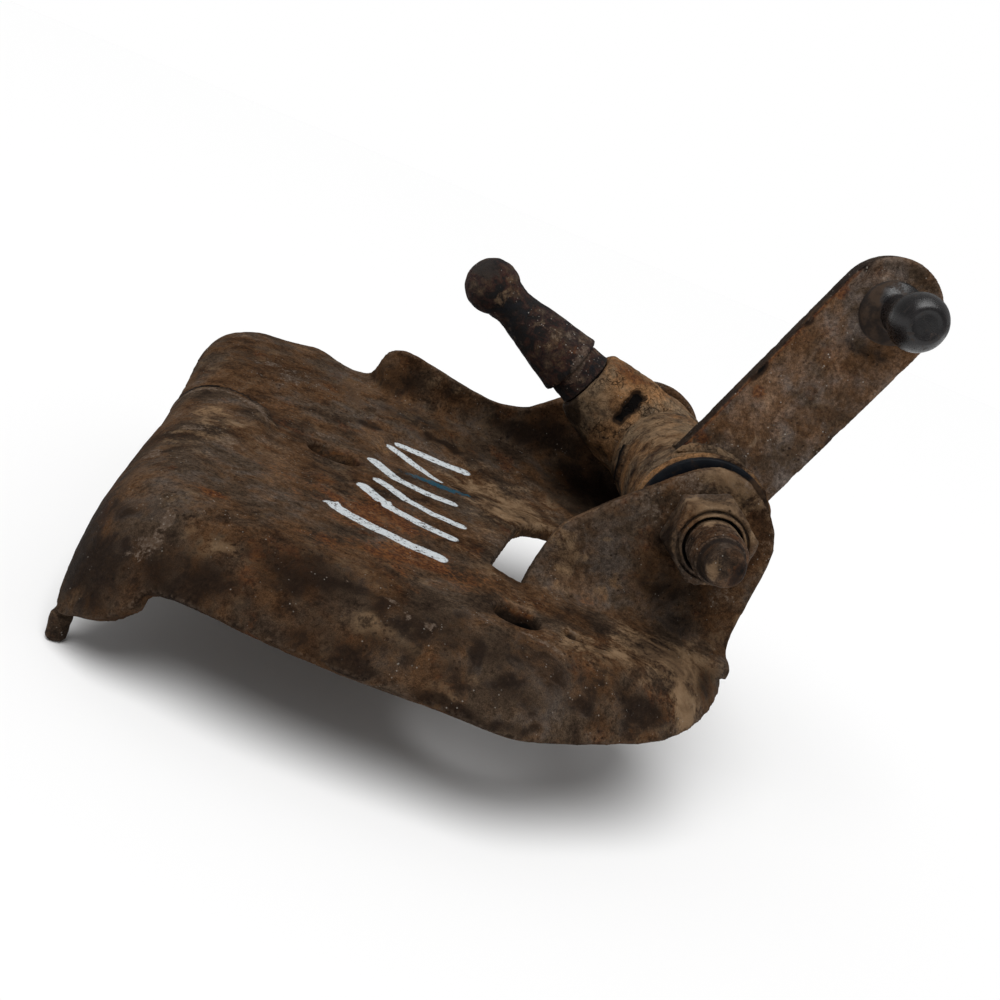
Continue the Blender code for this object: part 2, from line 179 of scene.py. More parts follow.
def turned(name, profile, axis, n, closed=False):
    """A turned piece from (s, radius) pairs; a radius may be a function of the angle."""
    at, ax, a, b = (Vector(v) for v in axis)
    loops = []
    for s, radius in profile:
        loop = []
        for i in range(n):
            t = 2 * math.pi * i / n
            r = at_angle(radius, t)
            loop.append(at + ax * s + a * (r * math.cos(t)) + b * (r * math.sin(t)))
        loops.append(loop)
    return mesh_object(name, *skin(loops, closed))


def dense(profile, step):
    """The same profile with points no further apart than step."""
    out = [profile[0]]
    for (s0, r0), (s1, r1) in zip(profile, profile[1:]):
        climb = at_angle(r1, 0.3) - at_angle(r0, 0.3)
        parts = max(1, math.ceil(math.hypot(s1 - s0, climb) / step))
        for k in range(1, parts + 1):
            f = k / parts
            out.append((s0 + (s1 - s0) * f,
                        lambda t, a=r0, b=r1, f=f: at_angle(a, t) * (1 - f) + at_angle(b, t) * f))
    return out


def prism(name, outline, lo, hi, axis):
    """An outline in the plane across the axis, drawn out from lo to hi."""
    turn = 0.0
    for (u, v), (p, q) in zip(outline, outline[1:] + outline[:1]):
        turn += u * q - p * v
    if (turn > 0) == (axis == "y"):
        outline = outline[::-1]
    put = {"x": lambda h, u, v: (h, u, v), "y": lambda h, u, v: (u, h, v),
           "z": lambda h, u, v: (u, v, h)}[axis]
    return mesh_object(name, *skin([[put(h, u, v) for u, v in outline] for h in (lo, hi)]))


def arc(cx, cy, r, start, stop, n):
    out = []
    for i in range(n + 1):
        t = math.radians(start + (stop - start) * i / n)
        out.append((cx + r * math.cos(t), cy + r * math.sin(t)))
    return out


def read(ob):
    """Points in the pivot's millimetres and unit normals."""
    n = len(ob.data.vertices)
    co = np.empty(n * 3)
    ob.data.vertices.foreach_get("co", co)
    no = np.empty(n * 3)
    ob.data.vertices.foreach_get("normal", no)
    return (co.reshape(-1, 3) - np.array(PIVOT)) / MM, no.reshape(-1, 3)


def write(ob, points):
    ob.data.vertices.foreach_set("co", (points * MM + np.array(PIVOT)).ravel())
    ob.data.update()


def bumps(points, scale, seed):
    """Smooth noise from -1 to 1 at every point, with features about one scale wide."""
    shift = Vector((seed * 7.3, seed * 3.1, seed * 5.7))
    return np.array([noise.noise(Vector(p) / scale + shift) for p in points])


def worn(ob, *layers):
    """Pushes the skin in and out along its normals: each layer is (depth, width, seed)."""
    points, normals = read(ob)
    push = sum(depth * bumps(points, width, seed) for depth, width, seed in layers)
    write(ob, points + normals * push[:, None])
    return ob


def ease(x, lo, hi):
    t = np.clip((x - lo) / (hi - lo), 0, 1)
    return t * t * (3 - 2 * t)


def bell(x, width, power=2):
    return np.exp(-((x / width) ** power))


def line_distance(x, y, line):
    """Distance to a polyline and which side of it, positive on its left."""
    best = np.full(x.shape, 1e9)
    side = np.zeros(x.shape)
    for (ax, ay), (bx, by) in zip(line, line[1:]):
        dx, dy = bx - ax, by - ay
        t = np.clip(((x - ax) * dx + (y - ay) * dy) / (dx * dx + dy * dy), 0, 1)
        px, py = x - ax - t * dx, y - ay - t * dy
        d = np.hypot(px, py)
        near = d < best
        best = np.where(near, d, best)
        side = np.where(near, np.sign(dx * py - dy * px), side)
    return best, side


def lay_stains_shade_and_highlight(ob, marks, more):
    """Soft spots of each kind kept on the mesh for its material; more holds whole fields by kind."""
    points, _ = read(ob)
    drift = 0.0
    if marks:
        drift = [5.0 * bumps(points, 11, 30 + k) + 2.0 * bumps(points, 3.4, 33 + k) for k in range(3)]
        drift = np.stack(drift, 1)
    for kind in ("grease_and_shade", "rust", "dust", "scrape_and_highlight"):
        field = np.zeros(len(points))
        for *spot, strength in marks.get(kind, ()):
            centre, reach = np.array(spot).reshape(2, 3)
            loose = min(1.0, max(reach) / 12)
            far = (((points + loose * drift - centre) / reach) ** 2).sum(1)
            field = np.maximum(field, strength * np.exp(-far))
        field = np.maximum(field, more.get(kind, 0.0))
        layer = ob.data.attributes.new(kind, "FLOAT", "POINT")
        layer.data.foreach_set("value", field.astype(np.float32))


# ---- the pressed bracket
# Round the plate's edge: X and Y where the flat panel ends, X, Y and Z where the rim ends, and how
# far out the bend reaches before it turns down.
STATIONS = [
    (-98, -27, -103.5, -43.5, -38.8, 0.55), (-82, -31, -84, -49.5, -37.6, 0.55),
    (-64, -33, -66, -51.7, -37.7, 0.55), (-48, -34, -48, -52.5, -37.6, 0.55),
    (-34, -35, -32.5, -52.5, -38.2, 0.55), (-25, -33, -22, -47.5, -38.4, 0.55),
    (-14, -29, -11.5, -41.8, -37.3, 0.55), (-5, -22, 1, -33.8, -36, 0.6), (1, -14, 10, -22.8, -34, 0.65),
    (5, -7, 16, -9.5, -32, 0.7), (8, -1, 17.3, 0, -29, 0.75), (10, 7, 17.2, 8, -26, 0.7),
    (9, 22, 17.5, 24, -24.6, 0.7), (2, 38, 18, 44, -24.3, 0.7), (-7, 52, 18, 60, -22.5, 0.7),
    (-12, 60, 18, 78, -18, 0.75), (-16, 67, 17, 99.5, -14, 0.8), (-19, 71, 5, 99.8, -14, 0.85),
    (-22, 75, -9, 99.8, -13, 0.88), (-26, 79, -20, 99.8, -5, 0.9), (-32, 85, -30, 99.8, -2, 0.9),
    (-38, 90, -37, 99.8, -5.8, 0.9), (-46, 93, -45.5, 99.8, -7.9, 0.9), (-55, 94, -55.5, 99.8, -7.2, 0.9),
    (-64, 94, -66, 99.8, -5.3, 0.9), (-73, 95, -78, 100.2, -3.6, 0.9), (-79, 97, -83.5, 103, -6.2, 0.85),
    (-82, 101, -86, 109, -14.3, 0.8), (-86, 105, -89.5, 114.5, -17, 0.7), (-94, 105, -95, 114, -17, 0.7),
    (-103, 113, -105, 123.5, -17, 0.7), (-112, 111, -115, 119.5, -17.8, 0.7),
    (-119, 107, -126.5, 116, -18.8, 0.7), (-121, 97, -135, 104, -26, 0.85),
    (-116, 70, -132, 70, -33, 0.86), (-112, 45, -129.2, 45, -36, 0.86),
    (-110.5, 15, -127.6, 15, -38, 0.86), (-108.5, -14, -125.2, -17, -43, 0.86),
    (-106, -22, -123, -32, -54, 0.8), (-104, -25, -117.5, -38, -52, 0.72),
    (-102, -26, -112, -42, -48.5, 0.65), (-100, -26.5, -107, -44, -43, 0.6),
]
PANEL_CENTRE = (-62.0, 22.0)
PER_SPAN, PANEL_RINGS, BEND_RINGS = 5, 8, 10


def panel_z(y):
    t = min(max((y - RISE_FROM) / (RISE_TO - RISE_FROM), 0.0), 1.0)
    return PLATE_TOP + REAR_RISE * t * t * (3 - 2 * t)


def spline(values, count):
    """A smooth closed run through the values, with count steps between neighbours."""
    n = len(values)
    out = []
    for i in range(n):
        a, b, c, d = (np.array(values[(i + k) % n]) for k in (-1, 0, 1, 2))
        for j in range(count):
            t = j / count
            h, g = 2 * t**3 - 3 * t**2 + 1, t**3 - 2 * t**2 + t
            p, q = 3 * t**2 - 2 * t**3, t**3 - t**2
            out.append(h * b + g * (c - a) / 2 + p * c + q * (d - b) / 2)
    return out


def plate_skin():
    stations = spline(STATIONS, PER_SPAN)
    n = len(stations)
    centre = Vector((*PANEL_CENTRE, PLATE_TOP))
    top = [centre]
    for r in range(1, PANEL_RINGS + 1):
        f = r / PANEL_RINGS
        for bx, by, *_ in stations:
            x = centre.x + f * (bx - centre.x)
            y = centre.y + f * (by - centre.y)
            top.append(Vector((x, y, panel_z(y))))
    for r in range(1, BEND_RINGS + 1):
        t = r / BEND_RINGS
        a, b, c = (1 - t) ** 2, 2 * t * (1 - t), t * t
        for bx, by, ex, ey, ez, k in stations:
            kx, ky, bz = bx + k * (ex - bx), by + k * (ey - by), panel_z(by)
            top.append(Vector((a * bx + b * kx + c * ex, a * by + b * ky + c * ey,
                               (a + b) * bz + c * ez)))
    faces = [(0, 1 + i, 1 + (i + 1) % n) for i in range(n)]
    for k in range(PANEL_RINGS + BEND_RINGS - 1):
        for i in range(n):
            j = (i + 1) % n
            a, b = 1 + k * n, 1 + (k + 1) * n
            faces.append((a + i, b + i, b + j, a + j))
    normals = [Vector() for _ in top]
    for f in faces:
        side = (top[f[1]] - top[f[0]]).cross(top[f[-1]] - top[f[0]])
        for i in f:
            normals[i] += side.normalized()
    under = [p - v.normalized() * PLATE for p, v in zip(top, normals)]
    base = len(top)
    walls = [tuple(base + i for i in reversed(f)) for f in faces]
    last = 1 + (PANEL_RINGS + BEND_RINGS - 1) * n
    for i in range(n):
        j = (i + 1) % n
        walls.append((last + i, base + last + i, base + last + j, last + j))
    return top + under, faces + walls


def build_bracket():
    ob = mesh_object("bracket_shell", *plate_skin())
    bend_in = arc(-5, PLATE_TOP + 5, 5, -90, 0, 10)
    bend_out = arc(-5, PLATE_TOP + 5, 5 + PLATE, 0, -90, 10)
    side = [(-10, PLATE_TOP - 0.6), *bend_in, (0, 20), (PLATE, 20), *bend_out]
    side.append((-10, PLATE_TOP - PLATE + 0.6))
    near = prism("near_blank", side, -44, 26, "x")
    outline = [(-34.5, -32), (-33.8, -25), (-32.4, -19), (-31.4, -14), (-29.8, -10)]
    outline += [(-26.4, -6.3), (-21.4, -0.9), (-17.4, 2.8), (-14.1, 5.8), (-11, 8.8), (-8.1, 11.3)]
    outline += [(-5, 13.4), (-1.7, 14.7), (1.8, 14.8), (5.2, 13.9), (9.3, 11.5), (12.6, 8.8)]
    outline += [(15.1, 5.6), (16.5, 2), (17, -2), (16.9, -7), (16.5, -15), (16.2, -24), (16.2, -32)]
    trim = prism("near_trim", outline, -14, 10, "y")
    boolean(near, trim, "INTERSECT")
    applied(near, trim)
    back = PLATE + EAR_GAP
    rear = [(-46, -14), (-45, -9.2), (-37, -6.2), (-29, 0.3), (-21, 6), *arc(0, 0, 16.2, 140, 0, 30)]
    rear = prism("rear_blank", [*rear, (16.2, -16.5), (-20, -16.5)], back, back + REAR_EAR, "y")
    notch = [(-42, 0.5), (-41.3, 4), (-36.5, 28), (-34.6, 36), (-31.5, 42), (-26, 46.5), (-18, 49)]
    notch += [(-8, 50), (30, 50), (30, 1.0), (16.4, 1.0), (15.6, -5.6), (-33, -5.6)]
    notch = prism("notch", [*notch, (-37, -4.6), (-40.5, -2.3)], *CUT, "z")
    near_hole = prism("near_hole", arc(*NEAR_HOLE, HOLE_R, 0, 352, 44), *CUT, "z")
    low, high = PLATE_TOP - PLATE - BURR_DEPTH, PLATE_TOP - PLATE + 1.2
    # A short burr stands under each bolt hole.
    near_collar = prism("near_collar", arc(*NEAR_HOLE, BURR_R, 0, 352, 44), low, high, "z")
    x, y = FAR_HOLE
    collar, slot = (arc(x + SLOT_HALF, y, r, -90, 90, 20) + arc(x - SLOT_HALF, y, r, 90, 270, 20)
                    for r in (BURR_R, HOLE_R))
    far_collar = prism("far_collar", collar, low + 1, high + 1, "z")
    far_hole = prism("far_hole", slot, *CUT, "z")
    drill = turned("drill", [(-12, BOLT_BORE_R), (120, BOLT_BORE_R)], Y_AXIS, 64)
    for tool, how in ((notch, "DIFFERENCE"), (near, "UNION"), (rear, "UNION"),
                      (near_collar, "UNION"), (far_collar, "UNION"),
                      (near_hole, "DIFFERENCE"), (far_hole, "DIFFERENCE"), (drill, "DIFFERENCE")):
        boolean(ob, tool, how)
    applied(ob, near, rear, notch, near_collar, far_collar, near_hole, far_hole, drill)
    voxelled(ob, BRACKET_GRID, 3)
    return ob


# The pressed step on the left, the shallow well at the rear (centre, half sizes), the small dents
# (X, Y, reach, depth) and the raised ridges (line, reach, height).
STEP_LINE = [(-144, 50), (-133, 53), (-125, 54.5), (-118, 54), (-112, 51.5), (-105, 46), (-101, 41)]
WELL = ((-45, 60), (30, 28))
DENTS = [(-112, 65, 1.6, 0.7), (-103, -8, 2.6, 0.8), (-24, -26, 1.3, 2.0), (-70, 74, 5.0, 0.5),
         (-12, -34, 3.0, 0.5), (-95, 20, 8.0, 0.35), (-55, -20, 9.0, 0.3)]
RIDGES = [([(-101, -10), (-96, -16), (-90, -20)], 1.1, 0.45),
          ([(-96, 47), (-91, 50), (-86, 50)], 1.2, 0.8),
          ([(-73, -41), (-62, -43), (-52, -42)], 0.9, 0.3),
          ([(-41, 86), (-34, 81), (-26, 75), (-17, 66)], 1.3, 0.6)]


def press(ob):
    points, normals = read(ob)
    x, y, z = points.T
    flat = (z < -1.5) & ((y < 94) | (x < -75)) & ~((x > -31) & (y > -6) & (y < 8) & (z > -23))
    d, side = line_distance(x, y, STEP_LINE)
    fade = ease(-x, 100, 106)
    lift = np.where(side < 0, 2.7 * np.exp(-d / 12), -0.5 * bell(d, 6)) * fade
    (cx, cy), (rx, ry) = WELL
    r = np.hypot((x - cx) / rx, (y - cy) / ry)
    lift -= 1.2 * ease(-r, -1.05, -0.95) * ease(y, 42, 60)
    lift += 0.5 * bumps(points, 30, 1)
    points[:, 2] += np.where(flat, lift, 0)
    # Painted shadow: the line along the foot of the pressed step is darkened. Painted highlight: a pale band
    # along the step's lip, laid as scraped metal.
    painted_step_shadow = np.where(side < 0, ease(-d, -1.7, -0.9), 0.5 * bell(d, 4)) * fade * ease(-x, 104, 112)
    painted_step_shadow *= 0.75 + 0.4 * ease(bumps(points, 5, 42), -0.3, 0.1)
    painted_lip_highlight = bell(d - 2.7, 1.0) * (side < 0) * fade
    push = 0.14 * bumps(points, 6, 2) + 0.06 * bumps(points, 1.9, 3)
    up = ease(normals[:, 2], 0.2, 0.6) * flat
    for dx, dy, reach, depth in DENTS:
        push -= up * depth * np.exp(-((x - dx) ** 2 + (y - dy) ** 2) / reach**2)
    for line, reach, height in RIDGES:
        d, _ = line_distance(x, y, line)
        push += up * height * bell(d, reach)
    write(ob, points + normals * push[:, None])
    return ob, {"grease_and_shade": 1.05 * painted_step_shadow, "scrape_and_highlight": 0.8 * painted_lip_highlight}


bracket, bracket_step_shadow_and_highlight = press(build_bracket())

peg_at = ((-121.6, -30.3, 0), (0, 0, 1), (1, 0, 0), (0, 1, 0))
peg = [(-61.8, 0.4), (-61.8, 1.5), (-61.2, 2.1), (-56.4, 2.2), (-55.9, 1.9), (-54, 1.0), (-51.6, 1.0)]
peg = worn(turned("front_peg", dense(peg, 0.35), peg_at, 40), (0.12, 1.5, 4))

# ---- bolt, nut and the hidden stack
HEX_HALF = 9.0
BOLT_R = 6.0
PITCH = 1.75


def hexagon(turn, limit):
    """Radius against angle of an 18 mm hexagon whose corners stop at a circle."""
    def radius(t):
        a = (math.degrees(t) - turn + 30) % 60 - 30
        return min(HEX_HALF / math.cos(math.radians(a)), limit)
    return radius


def thread(s):
    def radius(t):
        turn = (s / PITCH + t / (2 * math.pi)) % 1.0
        worn_start = 0.5 * max(0.0, (-18.0 - s) / 2)
        return BOLT_R + 0.1 - worn_start - 1.1 * abs(2 * turn - 1) ** 1.3
    return radius


HEX_SEG = 180
head_lo = PLATE + EAR_GAP + REAR_EAR + GAP
tip = [(-24.6, 0.3), (-24.6, 1.4), (-24.9, 2.2), (-25.0, 3.4), (-24.7, 4.0), (-24.0, 4.35)]
tip += [(-21.2, 4.4), (-20.6, 4.7), (-20.2, 5.0)]
shank = dense(tip, 0.4) + [(-20 + 0.15 * k, thread(-20 + 0.15 * k)) for k in range(1, 70)]
shank += dense([(-9.4, 5.6), (-8.0, BOLT_R), (head_lo, BOLT_R)], 3.0)
head = [(0, 8.0), (0, 8.7), (0.5, hexagon(15, 9.6)), (1.2, hexagon(15, 10.3)), (6.2, hexagon(15, 10.3)),
        (7.0, hexagon(15, 9.4)), (7.5, 8.4), (7.5, 5.0), (7.2, 4.4), (7.2, 0.5)]
head = [(head_lo + s, r) for s, r in head]
bolt = worn(turned("clamp_bolt", shank + head, Y_AXIS, HEX_SEG), (0.08, 2.2, 5), (0.04, 0.8, 6))
points, _ = read(bolt)
r = np.hypot(points[:, 0], points[:, 2])
groove = ease(-r, -5.5, -5.0) * (points[:, 1] < -9) * (points[:, 1] > -20)
shoulder = bell(points[:, 1] + 20.2, 0.9) * (r < 5.3)
bolt_dark = {"grease_and_shade": np.maximum(1.1 * groove, 0.9 * shoulder)}

nut = [(-GAP, 6.2), (-GAP, 9.0), (-0.5, hexagon(-22.6, 10.2)), (-1.1, hexagon(-22.6, 10.39)),
       (-5.5, hexagon(-22.6, 10.39)), (-8.3, hexagon(-22.6, 10.3)), (-9.2, hexagon(-22.6, 9.7)),
       (-9.8, 8.9), (-10.0, 8.5), (-9.9, 8.1), (-9.2, 7.8), (-9.2, 7.5), (-10.2, 7.3), (-10.5, 6.9),
       (-10.2, 6.6), (-9.0, 6.3), (-8.4, 6.05)]
nut = turned("clamp_nut", dense([*nut, nut[0]], 0.35)[:-1], Y_AXIS, HEX_SEG, closed=True)
worn(nut, (0.28, 3.6, 7), (0.16, 1.2, 8))
points, _ = read(nut)
r = np.hypot(points[:, 0], points[:, 2])
nut_dark = {"grease_and_shade": 1.1 * (r < 6.75) + 0.75 * bell(r - 7.7, 0.35) * (points[:, 1] < -8.5)}

inner_lo = PLATE + GAP
inner_hi = PLATE + EAR_GAP - GAP


def tube(name, lo, hi, inner, outer, edge, n=96):
    shape = [(lo, inner), (lo, outer - edge), (lo + edge * 0.4, outer - edge * 0.3), (lo + edge, outer)]
    shape += [(hi - edge, outer), (hi - edge * 0.4, outer - edge * 0.3), (hi, outer - edge), (hi, inner)]
    return turned(name, dense(shape, 1.5)[::-1], Y_AXIS, n, closed=True)


spacer = tube("clamp_spacer", inner_lo, inner_hi, BOLT_BORE_R, 8.0, 0.4)
washer_front = tube("front_washer", inner_lo, inner_lo + WASHER_T, LEVER_BORE_R, 16.0, 0.4, 200)
washer_rear = tube("rear_washer", inner_hi - WASHER_T, inner_hi, LEVER_BORE_R, 14.2, 0.5, 160)
sleeve_lo = inner_lo + WASHER_T + GAP
sleeve_hi = inner_hi - WASHER_T - GAP
bush_lo, bush_hi = sleeve_lo + GAP, sleeve_hi - GAP
bush_front = tube("front_bush", bush_lo, bush_lo + BUSH_LEN, LEVER_BORE_R, 10.4, 0.4)
bush_rear = tube("rear_bush", bush_hi - BUSH_LEN, bush_hi, LEVER_BORE_R, 10.4, 0.4)


# ---- the swinging lever
# A thin crack runs round the sleeve's left side. Its points are Y and a quarter of the angle from the
# top in degrees.
SLIT = [(48.2, -19.8), (46.6, -21.8), (45.5, -24), (46.2, -27.5)]


def build_sleeve():
    rim = 16.6
    outer = [(0, 10.9), (0, rim - 0.7), (0.3, rim - 0.2), (0.8, rim), (1.3, rim), (2.0, rim - 0.7),
             (3.0, SLEEVE_R + 0.8), (4.6, SLEEVE_R + 0.1)]
    outer = [(sleeve_lo + s, r) for s, r in outer]
    outer += [(sleeve_hi - 0.8, SLEEVE_R), (sleeve_hi, SLEEVE_R - 0.8), (sleeve_hi, 10.9)]
    shape = dense(outer, 0.45) + [(sleeve_hi - 0.3, 10.7), (sleeve_lo + 0.3, 10.7)]
    ob = turned("lever_sleeve", shape[::-1], Y_AXIS, 224, closed=True)
    points, normals = read(ob)
    x, y, z = points.T
    angle = np.degrees(np.arctan2(x, z))
    out = ease(np.hypot(x, z), 12, 14)
    swirl = y + 1.4 * bumps(points, 12, 9)
    push = 0.35 * bell(swirl - 66, 2.6) + 0.25 * bell(swirl - 52, 1.8)
    push += 0.22 * bell(swirl - 30, 3.0) + 0.07 * bumps(points * (1, 3.0, 1), 5, 10)
    push += 0.3 * bumps(points, 9, 11) + 0.2 * bumps(points, 2.6, 13) + 0.09 * bumps(points, 1.0, 12)
    slit, _ = line_distance(y, angle / 4, SLIT)
    slit = bell(slit + 0.35 * bumps(points, 1.6, 40), 1.05, 4)
    push -= 1.5 * slit
    write(ob, points + normals * (push * out)[:, None])
    return ob, {"grease_and_shade": 1.2 * slit * out}


def build_arm():
    up = (math.sin(ARM_ANGLE), math.cos(ARM_ANGLE))
    across = (math.cos(ARM_ANGLE), -math.sin(ARM_ANGLE))

    def at(s, t):
        return (up[0] * s + across[0] * t, up[1] * s + across[1] * t)

    outline = [at(5, ARM_HALF), at(5, -ARM_HALF)]
    for i in range(49):
        t = math.pi * i / 48
        outline.append(at(ARM_LEN + ARM_HALF * math.sin(t), -ARM_HALF * math.cos(t)))
    ob = prism("lever_arm", outline, ARM_Y, ARM_Y + ARM_T, "y")
    saddle = turned("saddle", [(ARM_Y - 3, SLEEVE_R + 0.1), (ARM_Y + ARM_T + 3, SLEEVE_R + 0.1)], Y_AXIS, 128)
    end = at(ARM_LEN, 0)
    drill = [(ARM_Y - 3, STUD_HOLE_R), (ARM_Y + ARM_T + 3, STUD_HOLE_R)]
    drill = turned("stud_drill", drill, along_y(*end), 64)
    boolean(ob, saddle)
    boolean(ob, drill)
    applied(ob, saddle, drill)
    voxelled(ob, LEVER_GRID, 7)
    points, normals = read(ob)
    x, y, z = points.T
    s = x * up[0] + z * up[1]
    t = x * across[0] + z * across[1]
    front = ease(-normals[:, 1], 0.3, 0.8)
    r = np.hypot(s - ARM_LEN, t)
    dish = -0.55 * bell(r - 9.4, 1.5) + 0.25 * bell(r - 11.6, 0.9)
    flat_face = 0.35 + 0.65 * np.abs(normals[:, 1])
    rough = 0.06 * bumps(points, 12, 14) + 0.08 * bumps(points, 2.4, 15) + 0.05 * bumps(points, 0.9, 16)
    push = front * dish + rough * flat_face
    rim = ease(np.abs(t), ARM_HALF - 1.2, ARM_HALF - 0.3)
    push -= rim * 0.14 * ease(bumps(points, 3.0, 17), 0.2, 0.5)
    write(ob, points + normals * push[:, None])
    flank = ease(-(normals[:, 0] * across[0] + normals[:, 2] * across[1]), 0.35, 0.7)
    chips = ease(-t, 9.5, 12) * front * ease(bumps(points, 7, 27), 0.1, 0.4) * ease(s, 25, 35)
    lip = ease(-t, 11.2, 12.2) * front
    return ob, end, {"grease_and_shade": np.maximum(0.7 * flank, chips), "rust": 0.85 * lip}


lean = (-math.sin(FINGER_ANGLE), 0.0, math.cos(FINGER_ANGLE))
FINGER_AXIS = ((0.0, FINGER_Y, 0.0), lean, (lean[2], 0.0, -lean[0]), (0.0, 1.0, 0.0))


# A slot and a crease lie where the boss runs into the sleeve, darkened partly as grease and partly as painted
# shade in their hollows: their lines, width and depth.
BOSS_CUTS = [([(-13.2, 67.6, 14.0), (-14.6, 65.3, 10.9), (-15.7, 65.2, 8.2), (-16.2, 65, 6.8)], 2.3, 1.9),
             ([(-17, 64, 5), (-18, 65, 1), (-18.5, 67, -4)], 0.8, 0.3)]


def build_boss():
    at, ax, a, b = (Vector(v) for v in FINGER_AXIS)
    rings = []
    shape = [(18.0, 6.5, 6.5), (28.2, 6.5, 6.5), (28.9, 7.2, 7.2), (29.2, 8.6, 8.6), (29.2, 9.7, 9.7)]
    shape += [(28.7, 10.4, 10.4), (27.6, 10.8, 10.8), (24.0, 11.7, 11.9), (19.0, 12.7, 13.8)]
    shape += [(16.0, 13.1, 14.9), (13.0, 13.4, 16.2), (10.0, 13.5, 17.4), (4.0, 13.6, 17.8)]
    for s, t, y in shape:
        loop = []
        for i in range(96):
            c = 2 * math.pi * i / 96
            loop.append(at + ax * s + a * (t * math.cos(c)) + b * (y * math.sin(c)))
        rings.append(loop)
    ob = mesh_object("lever_boss", *skin(rings))
    saddle = turned("saddle", [(40, SLEEVE_R - 0.5), (110, SLEEVE_R - 0.5)], Y_AXIS, 128)
    boolean(ob, saddle)
    applied(ob, saddle)
    voxelled(ob, LEVER_GRID, 2)
    points, normals = read(ob)
    s = (points - np.array(at)) @ np.array(ax)
    base = ease(-s, -17, -12)
    push = (0.3 + 0.3 * base) * bumps(points, 5, 18) + 0.16 * bumps(points, 1.8, 19)
    push += 0.06 * bumps(points, 0.8, 20)
    dark = np.zeros(len(points))
    for line, reach, depth in BOSS_CUTS:
        far = np.full(len(points), 1e9)
        for a, b in zip(line, line[1:]):
            a, way = np.array(a), np.array(b) - np.array(a)
            f = np.clip((points - a) @ way / (way @ way), 0, 1)
            far = np.minimum(far, np.linalg.norm(points - a - f[:, None] * way, axis=1))
        cut = bell(far + 0.4 * bumps(points, 1.5, 41), reach, 4)
        push -= depth * cut
        # The slot and crease are darkened partly as grease and partly as painted shade.
        dark = np.maximum(dark, cut * min(1.2, 1.3 * depth))
    write(ob, points + normals * push[:, None])
    return ob, {"grease_and_shade": dark}


def ball(centre, radius, first, last, n, sign=-1):
    out = []
    for i in range(n + 1):
        t = first + (last - first) * i / n
        out.append((centre + sign * radius * math.cos(t), radius * math.sin(t)))
    return out


def weld(name, y, side):
    """A rippled bead along the joint between arm and sleeve."""
    loops = []
    for k in range(120):
        f = k / 119
        t = ARM_ANGLE + math.radians(-60 + 120 * f)
        ripple = 0.22 * math.sin(f * 120) + 0.3 * noise.noise(Vector((f * 14, side, 0.4)))
        r = (1.45 + 0.5 * ripple) * (1 - (2 * f - 1) ** 8)
        loop = []
        for i in range(16):
            c = 2 * math.pi * i / 16
            rad = SLEEVE_R + 0.5 + r * math.cos(c)
            loop.append((math.sin(t) * rad, y + r * math.sin(c), math.cos(t) * rad))
        loops.append(loop)
    return mesh_object(name, *skin(loops))


sleeve, sleeve_dark = build_sleeve()
arm, stud_at, arm_dark = build_arm()
weld_front = worn(weld("arm_weld_front", ARM_Y - 0.2, 1), (0.08, 1.6, 21))
weld_rear = worn(weld("arm_weld_rear", ARM_Y + ARM_T + 0.2, 2), (0.08, 1.6, 22))
boss, boss_dark = build_boss()

BALL_R = 6.5
flat = math.asin(3.8 / BALL_R)
face = 0.7 - BALL_R * math.cos(flat)
stud = [(face + 0.25, 0.3), (face + 0.2, 2.6), (face, 3.3)]
stud += ball(0.7, BALL_R, flat + 0.06, math.pi - 0.72, 40)
flange = [(-7.0, 4.25), (-5.0, 4.3), (-4.2, 4.7), (-3.5, 5.6), (-2.7, 6.9), (-2.2, 7.3), (-0.2, 7.35)]
stud += [(ARM_Y - GAP + s, r) for s, r in (*flange, (0, 7.1), (0, 5.0))]
rivet = [(0, 5.0), (0, 7.2), (0.5, 7.4), (1.4, 6.9), (2.2, 5.6), (2.6, 4.2), (2.5, 0.4)]
stud += [(ARM_Y + ARM_T + GAP + s, r) for s, r in rivet]
stud = worn(turned("arm_ball_stud", dense(stud, 0.5), along_y(*stud_at), 128), (0.07, 3.0, 23))

collar = 29.5
finger = [(19.0, 1.0), (19.0, 5.6), (19.6, 6.2), (collar, 6.2), (collar, 8.3), (collar + 0.3, 8.6)]
finger.append((35.2, 8.0))
finger += [(35.5, 9.0), (35.8, 9.4), (36.3, 9.45), (44.0, 8.25), (52.0, 6.75), (57.0, 5.85), (58.8, 5.7)]
finger += [(60.2, 5.85), (61.2, 6.1), *ball(FINGER_LEN, 7.8, math.asin(6.1 / 7.8) + 0.05, math.pi - 0.02, 44)]
finger = turned("lever_finger", dense(finger, 0.45), FINGER_AXIS, 144)
worn(finger, (0.3, 7.0, 24), (0.13, 2.0, 25), (0.04, 0.8, 26))

